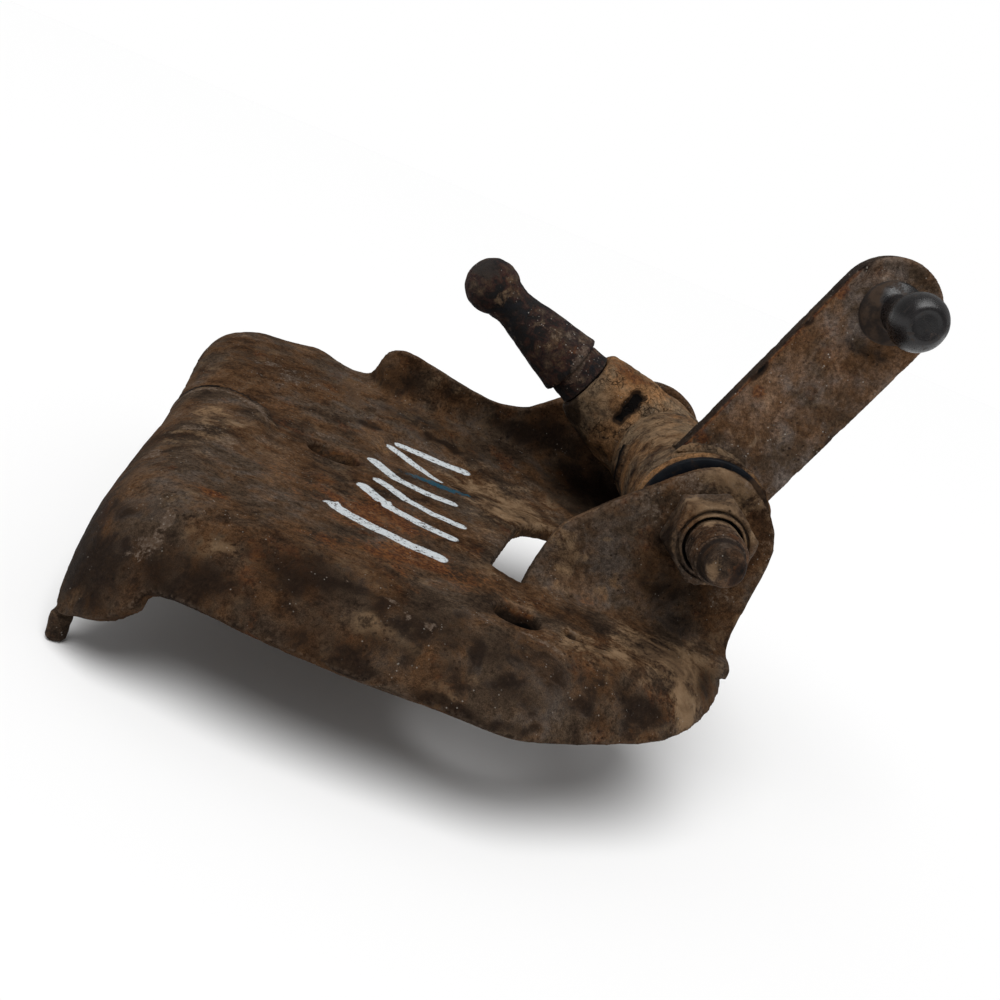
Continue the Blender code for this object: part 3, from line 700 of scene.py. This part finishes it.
# ---- materials
class Tree:
    """A short way to write a material's nodes."""

    def __init__(self, name):
        self.mat = bpy.data.materials.new(name)
        self.mat.use_nodes = True
        self.nodes = self.mat.node_tree.nodes
        self.links = self.mat.node_tree.links
        self.shader = self.nodes["Principled BSDF"]
        coord = self.nodes.new("ShaderNodeTexCoord").outputs["Object"]
        self.p = self.vector("SCALE", coord, scale=1000.0)

    def put(self, socket, value):
        if isinstance(value, bpy.types.NodeSocket):
            self.links.new(value, socket)
        elif value is not None:
            socket.default_value = value

    def vector(self, how, a, b=None, scale=None):
        node = self.nodes.new("ShaderNodeVectorMath")
        node.operation = how
        self.put(node.inputs[0], a)
        self.put(node.inputs[1], b)
        if scale is not None:
            self.put(node.inputs[3], scale)
        return node.outputs["Value"] if how in ("LENGTH", "DOT_PRODUCT") else node.outputs[0]

    def math(self, how, a, b=None, c=None, clamp=False):
        node = self.nodes.new("ShaderNodeMath")
        node.operation = how
        node.use_clamp = clamp
        for socket, value in zip(node.inputs, (a, b, c)):
            self.put(socket, value)
        return node.outputs[0]

    def times(self, a, b, clamp=False):
        return self.math("MULTIPLY", a, b, clamp=clamp)

    def span(self, value, lo, hi, a=0.0, b=1.0):
        node = self.nodes.new("ShaderNodeMapRange")
        node.interpolation_type = "SMOOTHSTEP"
        for socket, v in zip(node.inputs, (value, lo, hi, a, b)):
            self.put(socket, v)
        return node.outputs[0]

    def noise(self, scale, detail=5.0, rough=0.6, at=None, twist=0.0):
        node = self.nodes.new("ShaderNodeTexNoise")
        self.put(node.inputs["Vector"], at or self.p)
        node.inputs["Scale"].default_value = scale
        node.inputs["Detail"].default_value = detail
        node.inputs["Roughness"].default_value = rough
        node.inputs["Distortion"].default_value = twist
        return node.outputs["Fac"]

    def tint_noise(self, scale):
        node = self.nodes.new("ShaderNodeTexNoise")
        self.put(node.inputs["Vector"], self.p)
        node.inputs["Scale"].default_value = scale
        return node.outputs["Color"]

    def cells(self, scale, feature="F1", at=None):
        node = self.nodes.new("ShaderNodeTexVoronoi")
        node.feature = feature
        self.put(node.inputs["Vector"], at or self.p)
        node.inputs["Scale"].default_value = scale
        return node.outputs["Distance"]

    def ramp(self, value, *stops):
        node = self.nodes.new("ShaderNodeValToRGB")
        self.put(node.inputs[0], value)
        line = node.color_ramp.elements
        while len(line) < len(stops):
            line.new(0.5)
        for element, (at, colour) in zip(line, stops):
            element.position = at
            element.color = (*colour, 1.0)
        return node.outputs[0]

    def mix(self, factor, a, b, how="MIX"):
        node = self.nodes.new("ShaderNodeMix")
        node.data_type = "RGBA"
        node.blend_type = how
        self.put(node.inputs[0], factor)
        for socket, value in ((node.inputs[6], a), (node.inputs[7], b)):
            self.put(socket, (*value, 1.0) if isinstance(value, tuple) else value)
        return node.outputs[2]

    def over(self, colour, cover, amount, top):
        """Another colour laid over this one where cover is high."""
        return self.mix(self.times(cover, amount), colour, top)

    def mark(self, kind):
        node = self.nodes.new("ShaderNodeAttribute")
        node.attribute_name = kind
        return node.outputs["Fac"]

    def finish(self, colour, rough, height, depth, metal=0.0, gloss=0.3):
        bump = self.nodes.new("ShaderNodeBump")
        bump.inputs["Strength"].default_value = 1.0
        bump.inputs["Distance"].default_value = depth * MM
        self.put(bump.inputs["Height"], height)
        self.put(self.shader.inputs["Normal"], bump.outputs[0])
        self.put(self.shader.inputs["Base Color"], colour)
        self.put(self.shader.inputs["Roughness"], rough)
        self.put(self.shader.inputs["Metallic"], metal)
        self.shader.inputs["Specular IOR Level"].default_value = gloss
        return self.mat


BLACK = (0.0022, 0.0016, 0.0014)
OILY = (0.004, 0.004, 0.006)
BLACK_BROWN = (0.0065, 0.0038, 0.0028)
DARK = (0.0135, 0.0080, 0.0052)
BROWN = (0.040, 0.0235, 0.0140)
EARTH = (0.076, 0.0465, 0.0275)
GREY = (0.100, 0.071, 0.052)
TAN = (0.165, 0.104, 0.058)
SAND = (0.260, 0.172, 0.100)
CRUST = (0.28, 0.172, 0.092)
RUST = (0.088, 0.030, 0.011)
ORANGE = (0.170, 0.066, 0.019)
MAROON = (0.026, 0.0085, 0.0062)
STEEL = (0.125, 0.088, 0.066)
PALE = (0.225, 0.172, 0.132)
WHITE = (0.42, 0.38, 0.33)


def weathered(name, tones, dust=0.5, rust=0.5, grease_and_shade=0.5, speck=0.6, depth=0.25, gloss=0.06,
              paint=None, cracks=0.0, size=1.0, contrast=3.4, shade=1.0):
    """Old steel under rust, dust and grease, and under the painted shade and highlight that some marks carry.

    dust, rust, grease and speck say how much of each there is, depth is the bump in millimetres, size
    widens the mottling, contrast spreads its tones and shade lightens or darkens them."""
    t = Tree(name)
    wide = t.noise(0.045 / size, 4.0, 0.55, twist=0.4)
    mid = t.noise(0.22 / size, 8.0, 0.66, twist=0.5)
    small = t.noise(1.1, 6.0, 0.7)
    grain = t.noise(4.5, 3.0, 0.7)
    body = t.math("MULTIPLY_ADD", mid, 0.55, t.times(wide, 0.45))
    body = t.math("MULTIPLY_ADD", t.math("SUBTRACT", body, 0.5), contrast, 0.5, clamp=True)
    colour = t.ramp(body, *tones)
    tint = t.span(small, 0.30, 0.70, 0.52 * shade, 1.48 * shade)
    colour = t.mix(1.0, colour, t.times(tint, t.span(grain, 0.32, 0.68, 0.66, 1.34)), "MULTIPLY")
    warm = t.span(t.noise(0.075, 6.0, 0.62), 0.40, 0.60)
    colour = t.mix(1.0, colour, t.mix(warm, (0.90, 0.98, 1.08), (1.16, 0.97, 0.78)), "MULTIPLY")
    ragged = t.math("ADD", t.math("MULTIPLY_ADD", mid, 1.5, -0.75), t.math("MULTIPLY_ADD", small, 0.7, -0.35))

    def layer(kind, spread, free, amount):
        """A mark on the mesh, with ragged edges, over stray patches of the same."""
        own = t.span(t.math("ADD", t.mark(kind), t.times(ragged, 1.15)), spread, spread + 0.4)
        stray = t.span(t.noise(*free), 0.60 - 0.08 * amount, 0.70 - 0.06 * amount)
        return t.math("MAXIMUM", own, t.times(stray, amount), clamp=True)

    rusty = layer("rust", 0.32, (0.09, 7.0, 0.7), rust)
    colour = t.over(colour, rusty, 0.8, t.ramp(small, (0.36, MAROON), (0.5, RUST), (0.66, ORANGE)))
    dusty = layer("dust", 0.34, (0.13, 8.0, 0.72), dust)
    colour = t.over(colour, dusty, 0.75, t.ramp(mid, (0.35, EARTH), (0.52, TAN), (0.68, SAND)))
    # These dark marks are grease, and in places painted shade: under the sleeve, inside the bolt holes, in
    # the boss slot, along the pressed step and at the nut's lower left.
    grease_and_shade_cover = layer("grease_and_shade", 0.32, (0.085, 9.0, 0.74), grease_and_shade)
    colour = t.over(colour, grease_and_shade_cover, 0.9, t.ramp(small, (0.35, BLACK_BROWN), (0.62, DARK), (0.75, BROWN)))
    # The scraped marks also carry the painted highlight on the pressed step's lip.
    bare = t.span(t.math("ADD", t.mark("scrape_and_highlight"), t.times(ragged, 1.1)), 0.42, 0.62)
    colour = t.over(colour, bare, 0.6, t.ramp(small, (0.36, EARTH), (0.52, GREY), (0.68, PALE)))
    wear = t.span(t.nodes.new("ShaderNodeNewGeometry").outputs["Pointiness"], 0.515, 0.56)
    wear = t.times(wear, t.span(small, 0.42, 0.6))
    colour = t.over(colour, wear, 0.6, GREY)
    fleck = t.cells(1.15)
    where = t.math("MULTIPLY_ADD", t.mark("scrape_and_highlight"), 0.3, t.noise(0.16, 3.0, 0.6))
    fleck = t.times(t.span(fleck, 0.24, 0.12), t.span(where, 0.52, 0.60))
    fleck = t.times(fleck, t.span(t.noise(0.8, 2.0, 0.5), 0.52, 0.6))
    colour = t.over(colour, fleck, speck, WHITE)
    pits = t.span(t.cells(0.62, at=t.vector("ADD", t.p, t.vector("SCALE", t.p, scale=0.03))), 0.26, 0.1)
    pits = t.times(pits, t.span(t.noise(0.1, 4.0, 0.6), 0.5, 0.62))
    colour = t.over(colour, pits, 0.7, DARK)
    # The strongest dark marks turn black: thick grease, and painted shade inside the bolt holes, in the boss
    # slot, along the pressed step and under the sleeve.
    deep = t.span(t.mark("grease_and_shade"), 0.88, 1.0)
    colour = t.mix(deep, colour, BLACK)
    rough = t.span(grease_and_shade_cover, 0.0, 1.0, 0.9, 0.7)
    rough = t.math("MULTIPLY_ADD", small, 0.2, t.math("SUBTRACT", rough, 0.1), clamp=True)
    height = t.math("MULTIPLY_ADD", small, 1.0, t.times(grain, 0.45))
    height = t.math("MULTIPLY_ADD", mid, 0.7, height)
    height = t.math("SUBTRACT", height, t.times(pits, 0.7))
    height = t.math("ADD", height, t.times(dusty, 0.25))
    if cracks:
        bent = t.vector("ADD", t.p, t.vector("SCALE", t.tint_noise(0.5), scale=2.2))
        net = t.span(t.cells(0.42, "DISTANCE_TO_EDGE", bent), 0.07, 0.0)
        net = t.times(net, t.span(t.noise(0.17, 3.0, 0.6), 0.46, 0.6))
        net = t.times(net, cracks)
        colour = t.over(colour, net, 0.75, DARK)
        height = t.math("SUBTRACT", height, net)
    if paint:
        colour, rough, height = paint(t, colour, rough, height, small, grain)
    return t.finish(colour, rough, height, depth, gloss=gloss)


# Brush strokes of pale paint on the plate: plain sweeps, no signs. Each is a run of points with a
# half width; a smear of blue-green lies beside them.
STROKES = [([(-80, -1), (-70, -6), (-61, -9), (-54, -10)], 1.9),
           ([(-75, 21), (-68, 12), (-60, 8), (-52, 6)], 1.8),
           ([(-72, 30), (-64, 22), (-57, 19), (-50, 18)], 1.6),
           ([(-75, 46), (-68, 37), (-60, 34), (-53, 34)], 1.9),
           ([(-72, 66), (-64, 60), (-57, 54)], 1.4),
           ([(-70, 70), (-60, 69), (-50, 69)], 1.5)]
PAINT = (0.62, 0.66, 0.68)
TEAL = (0.010, 0.080, 0.125)
SMEAR_AT = (-57.0, 47.5, 0.0)
SMEAR_SPREAD = (0.12, 0.38, 0.0)


def painted(t, colour, rough, height, small, grain):
    local = t.vector("SUBTRACT", t.p, tuple(PIVOT / MM))
    local = t.vector("MULTIPLY", local, (1.0, 1.0, 0.0))
    nearest = None
    for line, half in STROKES:
        for a, b in zip(line, line[1:]):
            way = Vector((b[0] - a[0], b[1] - a[1], 0.0))
            off = t.vector("SUBTRACT", local, (*a, 0.0))
            along = t.math("DIVIDE", t.vector("DOT_PRODUCT", off, tuple(way)), way.length_squared, clamp=True)
            foot = t.vector("SCALE", tuple(way), scale=along)
            d = t.math("SUBTRACT", t.vector("LENGTH", t.vector("SUBTRACT", off, foot)), half)
            nearest = d if nearest is None else t.math("MINIMUM", nearest, d)
    edge = t.math("ADD", nearest, t.math("MULTIPLY_ADD", small, 1.1, -0.55))
    up = t.nodes.new("ShaderNodeSeparateXYZ")
    t.links.new(t.nodes.new("ShaderNodeNewGeometry").outputs["True Normal"], up.inputs[0])
    top = t.span(up.outputs[2], 0.5, 0.7)
    coat = t.times(t.span(edge, 0.25, -0.15), top)
    thin = t.times(coat, t.span(t.noise(0.9, 6.0, 0.75), 0.34, 0.46))
    smear = t.vector("MULTIPLY", t.vector("SUBTRACT", local, SMEAR_AT), SMEAR_SPREAD)
    smear = t.vector("LENGTH", smear)
    smear = t.math("ADD", smear, t.math("MULTIPLY_ADD", t.noise(0.6, 5.0, 0.75), 3.4, -1.7))
    smear = t.times(t.span(smear, 1.2, 0.8), t.span(grain, 0.36, 0.56, 0.25, 1.0))
    colour = t.mix(t.times(t.times(smear, top), 0.85), colour, TEAL)
    colour = t.mix(thin, colour, t.mix(t.span(grain, 0.3, 0.7), tuple(0.78 * c for c in PAINT), PAINT))
    rough = t.mix(thin, rough, (0.5, 0.5, 0.5))
    return colour, rough, t.math("MULTIPLY_ADD", thin, 0.5, height)


PLATE_TONES = ((0.0, DARK), (0.28, BROWN), (0.52, EARTH), (0.78, GREY), (1.0, TAN))
plate_mat = weathered("rusty_plate_look", PLATE_TONES, dust=0.5, rust=0.5, grease_and_shade=0.6, speck=0.35,
                      depth=0.35, paint=painted, size=1.5, contrast=3.1, shade=0.80, gloss=0.03)
peg_mat = weathered("peg_look", ((0.0, DARK), (0.4, BROWN), (1.0, TAN)), rust=0.9, grease_and_shade=0.2)
nut_mat = weathered("caked_nut_look", ((0.0, BROWN), (0.35, EARTH), (0.7, GREY), (1.0, SAND)), dust=0.9,
                    rust=0.2, grease_and_shade=0.3, depth=0.45)
bolt_mat = weathered("bolt_look", ((0.0, DARK), (0.35, BROWN), (0.7, GREY), (1.0, PALE)), dust=0.5,
                     rust=0.5, grease_and_shade=0.5, depth=0.25, gloss=0.12)
CRUST_TONES = ((0.0, DARK), (0.22, EARTH), (0.55, TAN), (1.0, CRUST))
sleeve_mat = weathered("dusty_sleeve_look", CRUST_TONES, dust=0.8, rust=0.4, grease_and_shade=0.3, speck=0.3,
                       depth=0.5, cracks=0.6, contrast=3.8)
boss_mat = weathered("crusty_boss_look", CRUST_TONES, dust=0.7, rust=0.5, grease_and_shade=0.5, depth=0.6, cracks=0.9,
                     contrast=3.9, shade=0.9)
arm_mat = weathered("arm_look", ((0.0, BROWN), (0.35, EARTH), (0.65, STEEL), (1.0, PALE)),
                    dust=0.35, rust=0.4, grease_and_shade=0.4, speck=0.8, depth=0.35, contrast=3.0)
FINGER_TONES = ((0.0, OILY), (0.35, BLACK_BROWN), (0.55, MAROON), (0.78, BROWN), (1.0, EARTH))
finger_mat = weathered("greasy_finger_look", FINGER_TONES, dust=0.4, rust=0.5, grease_and_shade=0.5, speck=0.8,
                       depth=0.6, gloss=0.3, contrast=4.6, size=0.7)


def smooth_metal(name, low, high, rough, metal, gloss, scratch):
    """Smooth or polished metal between two colours, with some dirt; scratch is its bump in millimetres."""
    t = Tree(name)
    cloud = t.noise(0.3, 6.0, 0.65)
    fine_noise = t.noise(2.2, 5.0, 0.7)
    colour = t.mix(t.span(cloud, 0.35, 0.65), low, high)
    dirt = t.span(t.noise(0.5, 8.0, 0.72, twist=0.6), 0.55, 0.66)
    caked = t.span(t.math("MULTIPLY_ADD", fine_noise, 0.5, t.mark("dust")), 0.5, 0.8)
    dirt = t.math("MAXIMUM", dirt, t.times(caked, 1.6))
    crust = t.mix(t.span(cloud, 0.4, 0.6), DARK, BROWN)
    colour = t.mix(t.times(dirt, 0.65, clamp=True), colour, crust)
    lines = t.span(t.noise(1.2, 4.0, 0.7, t.vector("MULTIPLY", t.p, (1.0, 9.0, 1.0))), 0.35, 0.7)
    rough_map = t.span(fine_noise, 0.3, 0.7, rough - 0.08, rough + 0.1)
    rough_map = t.math("ADD", rough_map, t.times(dirt, 0.45))
    height = t.math("ADD", t.times(fine_noise, 0.6), t.times(lines, 0.5))
    return t.finish(colour, rough_map, height, scratch, metal, gloss)


stud_mat = smooth_metal("stud_look", (0.0035, 0.0030, 0.0032), (0.009, 0.0072, 0.0076), 0.27, 0.0, 0.4, 0.02)
washer_mat = smooth_metal("washer_look", (0.0022, 0.0030, 0.0046), (0.0045, 0.0056, 0.0078),
                          0.45, 0.0, 0.08, 0.04)
spacer_mat = smooth_metal("spacer_look", (0.22, 0.21, 0.20), (0.34, 0.33, 0.31), 0.35, 0.85, 0.5, 0.05)
bronze_mat = smooth_metal("bronze_look", (0.27, 0.16, 0.06), (0.42, 0.27, 0.11), 0.38, 0.9, 0.5, 0.05)

# ---- stains, painted shade and highlight, and riding
# Each spot is its centre X, Y, Z, its reach along X, Y, Z, and its strength.
BRACKET_MARKS = {
    "grease_and_shade": [
        # Many of the wide, weak spots in this list run along the front and left flanges and darken them as a
        # whole.
        (-118, -30, -43, 13, 22, 12, 0.85), (-125, 10, -35, 6, 40, 8, 0.5),
        (-98, -43, -36, 20, 7, 7, 0.8), (-70, -41, -27, 26, 5, 4, 0.75), (-45, -42, -26, 14, 6, 4, 0.7),
        (-60, -52, -37, 50, 4, 3, 0.8), (-34, -47, -31, 9, 6, 5, 0.7), (-7, -35, -31, 10, 6, 5, 0.75),
        (10, -16, -28, 6, 6, 5, 0.7), (-20, -42, -33, 12, 5, 4, 0.6), (-57, 81, -22, 11, 4, 3, 0.9),
        (-81, 72, -22, 8, 3, 3, 0.75), (-30, 98, -13, 26, 4, 8, 0.85), (-76, 100, -13, 9, 5, 5, 0.7),
        # On the next line, the first two spots are painted shade on the web and the rear ear under the
        # sleeve.
        # On the next line, the third spot makes a dark patch on the near ear's face below the nut.
        (-8, 84, -19, 20, 22, 10, 0.92), (6, 58, -22, 12, 26, 5, 0.85), (3, -1, -16, 8, 3, 12, 0.62),
        # The last spot on the next line and the first on the line after it paint shade inside the two bolt
        # holes.
        (-85, 40, -26, 9, 5, 2, 0.7), (-24, -26, -25, 1.5, 1.5, 2, 1.0), (-85, 39, -29, 9, 9, 3, 1.2),
        (-36, -26, -29, 8, 8, 3, 1.2), (-103, -42, -34, 20, 16, 9, 0.62),
        (-76, -39, -26, 34, 11, 5, 0.55), (-55, -48, -32, 45, 6, 6, 0.5), (-122, -8, -36, 7, 30, 9, 0.6),
        (-8, 0, -12, 4, 2, 8, 0.7), (-105, 92, -22, 30, 16, 8, 0.55), (-60, 88, -20, 30, 10, 6, 0.5),
        (-45, -40, -28, 60, 9, 6, 0.6), (-123, -20, -42, 12, 26, 16, 0.75),
        (-75, -50, -36, 40, 5, 5, 0.6)],
    "rust": [
        (-72, 4, -24, 20, 16, 4, 0.75), (-60, -18, -24, 20, 9, 4, 0.8), (-103, -20, -24, 4, 3, 3, 0.9),
        (-85, 42, -26, 8, 6, 2, 0.6), (-78, -24, -24, 10, 6, 3, 0.6), (-36, -24, -26, 6, 6, 2, 0.6),
        (-100, 60, -23, 14, 12, 4, 0.25), (-95, 5, -24, 14, 14, 4, 0.3), (-20, -3, -18, 6, 3, 8, 0.5)],
    "dust": [
        (-36, 52, -24, 22, 28, 5, 0.75), (0, -18, -25, 16, 13, 5, 1.0), (-18, -28, -25, 15, 6, 4, 0.65),
        (-62, -47, -31, 24, 3, 3, 0.55), (-115, 10, -25, 7, 20, 4, 0.55), (-25, 0, -15, 7, 3, 9, 0.65),
        (-62, 99, -10, 15, 4, 4, 0.55), (-40, 0, -24, 12, 16, 3, 0.5), (-62, -46, -31, 9, 3, 4, 0.8),
        (-95, -36, -30, 10, 6, 4, 0.6), (-30, 62, -22, 16, 16, 4, 0.6), (4, -26, -30, 9, 6, 5, 0.9),
        (2, 0, 10, 14, 3, 6, 0.85), (-112, 30, -25, 12, 18, 4, 0.7), (-20, 0, -6, 9, 2, 6, 0.5)],
    "scrape_and_highlight": [
        (-108, 20, -24, 10, 22, 3, 0.42), (-105, 88, -20, 20, 14, 4, 0.5),
        (-109, -36, -33, 2.5, 9, 8, 0.75), (-120, -2, -28, 3, 4, 3, 0.8), (-123, 32, -27, 3, 4, 3, 0.7),
        (-117, 18, -25, 4, 3, 2, 0.7), (-91, 50, -23, 6, 1.6, 2, 1.0), (-62, -40, -26, 15, 1.2, 2, 0.8),
        (-13, 0, 1, 6, 2, 4, 0.6), (-30, -35, -24, 6, 1.2, 2, 0.8), (-24, -24.4, -24, 3, 1.2, 1.5, 0.8),
        (-34, 81, -22, 9, 2, 2, 0.6), (-8, 1, 9, 6, 3, 3, 0.55), (13, 0, 4, 4, 2, 9, 0.5),
        (9, 0, -14, 6, 2, 5, 0.55), (6, 0, 12, 6, 2, 3, 0.5), (14, 0, -2, 3, 2, 12, 0.4)],
}
SLEEVE_MARKS = {
    "grease_and_shade": [
        # The first two spots on the next line are painted shade along the sleeve's underside and lower left.
        (-13, 45, -10, 8, 55, 6, 0.88), (0, 50, -15, 14, 55, 7, 0.86), (-14, 47, 0, 2, 5, 3, 0.6),
        (-13, 66, 8, 4, 1.5, 8, 0.6)],
    "rust": [(-10, 69, 13, 5, 5, 5, 0.6)],
    "dust": [(-9, 48, 12, 9, 42, 7, 0.8)],
}
BOSS_MARKS = {
    # Both spots on the next line are painted shade on the boss's left and lower side, under the sleeve.
    "grease_and_shade": [(-28, 72, 3, 4, 9, 7, 0.88), (-22, 74, -6, 9, 14, 6, 0.9)],
    "rust": [(-17, 73, 18, 9, 6, 3, 0.8)],
    "dust": [(-22, 66, 10, 6, 5, 6, 0.7)],
    "scrape_and_highlight": [(-28, 69, 13, 1.5, 4, 6, 0.8)],
}
ARM_MARKS = {
    "grease_and_shade": [(21, 19, 50, 7, 3, 5, 0.6), (27, 19, 34, 2, 3, 14, 0.6), (24, 19, 22, 4, 3, 10, 0.7)],
    "rust": [
        (3, 19, 32, 2, 2, 2, 0.9), (11, 19, 60, 2, 2, 2, 0.9), (-4, 19, 17, 2.5, 2, 2.5, 0.9),
        (8, 19, 46, 5, 2, 8, 0.45)],
    "dust": [(8, 19, 22, 8, 3, 8, 0.4)],
    "scrape_and_highlight": [(20, 19, 70, 12, 3, 5, 0.5), (14, 19, 38, 7, 2, 12, 0.35), (10, 19, 20, 9, 2, 8, 0.3)],
}
FINGER_MARKS = {
    "grease_and_shade": [(-66, 74, 30, 5, 6, 5, 0.9)],
    "rust": [(-31, 72, 12, 3, 6, 5, 0.6)],
    "dust": [(-45, 70, 22, 6, 3, 6, 0.5), (-58, 70, 24, 5, 3, 5, 0.6)],
    "scrape_and_highlight": [
        (-37, 72, 22, 3, 5, 4, 0.6), (-31, 72, 16, 3, 8, 8, 0.95), (-48, 70, 26, 8, 5, 3, 0.35),
        (-44, 71, 21, 5, 4, 3, 0.55)],
}
NUT_MARKS = {
    # The first spot on the next line is painted shadow at the nut's lower left.
    "grease_and_shade": [(-10, -5, -3, 3, 6, 7, 0.8), (4, -14, -4, 3, 7, 3, 0.7), (3, -25, 1, 2.4, 2, 4, 1.0)],
    "rust": [(3, -24, 1, 3, 3, 4, 0.8)],
    "dust": [(0, -8, 7, 11, 6, 5, 1.1), (-2, -25, -1, 2.4, 2, 3, 1.0)],
    "scrape_and_highlight": [(-1.5, -25, -1, 2.4, 1, 2.4, 0.6)],
}
WASHER_MARKS = {"dust": [(13, 5, 8, 7, 5, 9, 1.3), (-15, 5, 2, 3, 5, 4, 0.8)]}
STUD_MARKS = {"dust": [(19, 17, 58, 12, 4, 12, 1.2), (19, 24, 58, 12, 4, 12, 1.2)]}

PIECES = [
    (bracket, plate_mat, "bracket", "bracket_body", "rusty_plate", BRACKET_MARKS),
    (peg, peg_mat, "locating_peg", "bracket_body", "rusty_plate", {}),
    (bolt, bolt_mat, "pivot_bolt", "bracket_body", "fastener_steel", NUT_MARKS),
    (nut, nut_mat, "pivot_nut", "bracket_body", "fastener_steel", NUT_MARKS),
    (spacer, spacer_mat, "spacer_tube", "bracket_body", "spacer_steel", {}),
    (washer_front, washer_mat, "thrust_washer_front", "bracket_body", "washer_polymer", WASHER_MARKS),
    (washer_rear, washer_mat, "thrust_washer_rear", "bracket_body", "washer_polymer", {}),
    (bush_front, bronze_mat, "bush_front", "lever", "bush_bronze", {}),
    (bush_rear, bronze_mat, "bush_rear", "lever", "bush_bronze", {}),
    (sleeve, sleeve_mat, "sleeve", "lever", "dusty_steel", SLEEVE_MARKS),
    (arm, arm_mat, "arm_plate", "lever", "arm_steel", ARM_MARKS),
    (weld_front, sleeve_mat, None, "lever", "dusty_steel", SLEEVE_MARKS),
    (weld_rear, sleeve_mat, None, "lever", "dusty_steel", SLEEVE_MARKS),
    (stud, stud_mat, "ball_stud", "lever", "stud_steel", STUD_MARKS),
    (boss, boss_mat, "finger_boss", "lever", "dusty_steel", BOSS_MARKS),
    (finger, finger_mat, "ball_finger", "lever", "greasy_steel", FINGER_MARKS),
]
MORE = {"bracket_shell": bracket_step_shadow_and_highlight, "clamp_bolt": bolt_dark, "clamp_nut": nut_dark,
        "lever_sleeve": sleeve_dark, "lever_arm": arm_dark, "lever_boss": boss_dark}
for ob, mat, node, body, slot, marks in PIECES:
    ob.data.materials.clear()
    ob.data.materials.append(mat)
    lay_stains_shade_and_highlight(ob, marks, MORE.get(ob.name, {}))
    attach(ob, body)
    if node:
        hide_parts(node)

# ---- floor, light and camera
FLOOR_HALF = 6.0
FLOOR_GAP = 0.0002
FLOOR_TONE = 0.86
SKY_STRENGTH = 0.34
SUN_WAY = (0.12, 0.42, -1.0)
SUN_STRENGTH = 2.9
SUN_SPREAD = 50
floor_z = cad_low.z - FLOOR_GAP
mesh = bpy.data.meshes.new("floor")
corners = [(FLOOR_HALF * x, FLOOR_HALF * y, floor_z) for x, y in ((-1, -1), (1, -1), (1, 1), (-1, 1))]
mesh.from_pydata(corners, [], [(0, 1, 2, 3)])
floor = show("floor", mesh)
floor_mat = bpy.data.materials.new("pale_floor")
floor_mat.use_nodes = True
floor_shader = floor_mat.node_tree.nodes["Principled BSDF"].inputs
floor_shader["Base Color"].default_value = (FLOOR_TONE, FLOOR_TONE, FLOOR_TONE, 1)
floor_shader["Roughness"].default_value = 0.9
floor_shader["Specular IOR Level"].default_value = 0.1
mesh.materials.append(floor_mat)

world = bpy.data.worlds.new("studio")
bpy.context.scene.world = world
world.use_nodes = True
sky = world.node_tree
lit = sky.nodes["Background"]
lit.inputs["Color"].default_value = (1.0, 1.0, 1.0, 1.0)
lit.inputs["Strength"].default_value = SKY_STRENGTH
seen = sky.nodes.new("ShaderNodeBackground")
seen.inputs["Color"].default_value = (1.0, 1.0, 1.0, 1.0)
path = sky.nodes.new("ShaderNodeLightPath")
blend = sky.nodes.new("ShaderNodeMixShader")
sky.links.new(path.outputs["Is Camera Ray"], blend.inputs[0])
sky.links.new(lit.outputs[0], blend.inputs[1])
sky.links.new(seen.outputs[0], blend.inputs[2])
sky.links.new(blend.outputs[0], sky.nodes["World Output"].inputs[0])

lamp = bpy.data.lights.new("key", "SUN")
lamp.energy = SUN_STRENGTH
lamp.angle = math.radians(SUN_SPREAD)
key = show("key", lamp)
key.rotation_mode = "QUATERNION"
key.rotation_quaternion = Vector(SUN_WAY).to_track_quat("-Z", "Y")

# The camera stands in front and a little above, and is rolled to one side.
CAMERA_AT = (-72.82, -241.2, 54.0)
SENSOR = 36.0
LENS = 40.58
YAW, TILT, ROLL = (math.radians(a) for a in (6.45, -14.76, 22.59))
ahead = Vector((math.sin(YAW) * math.cos(TILT), math.cos(YAW) * math.cos(TILT), math.sin(TILT)))
right = Vector((math.cos(YAW), -math.sin(YAW), 0.0))
up = right.cross(ahead)
across = right * math.cos(ROLL) + up * math.sin(ROLL)
above = up * math.cos(ROLL) - right * math.sin(ROLL)
camera = bpy.data.cameras.new("camera")
camera.sensor_width = SENSOR
camera.lens = LENS
camera.clip_start = 0.01
view = show("camera", camera)
turn = Matrix((across, above, -ahead)).transposed().to_4x4()
view.matrix_world = Matrix.Translation(place(CAMERA_AT)) @ turn
bpy.context.scene.camera = view
bpy.context.scene.view_settings.view_transform = "Standard"
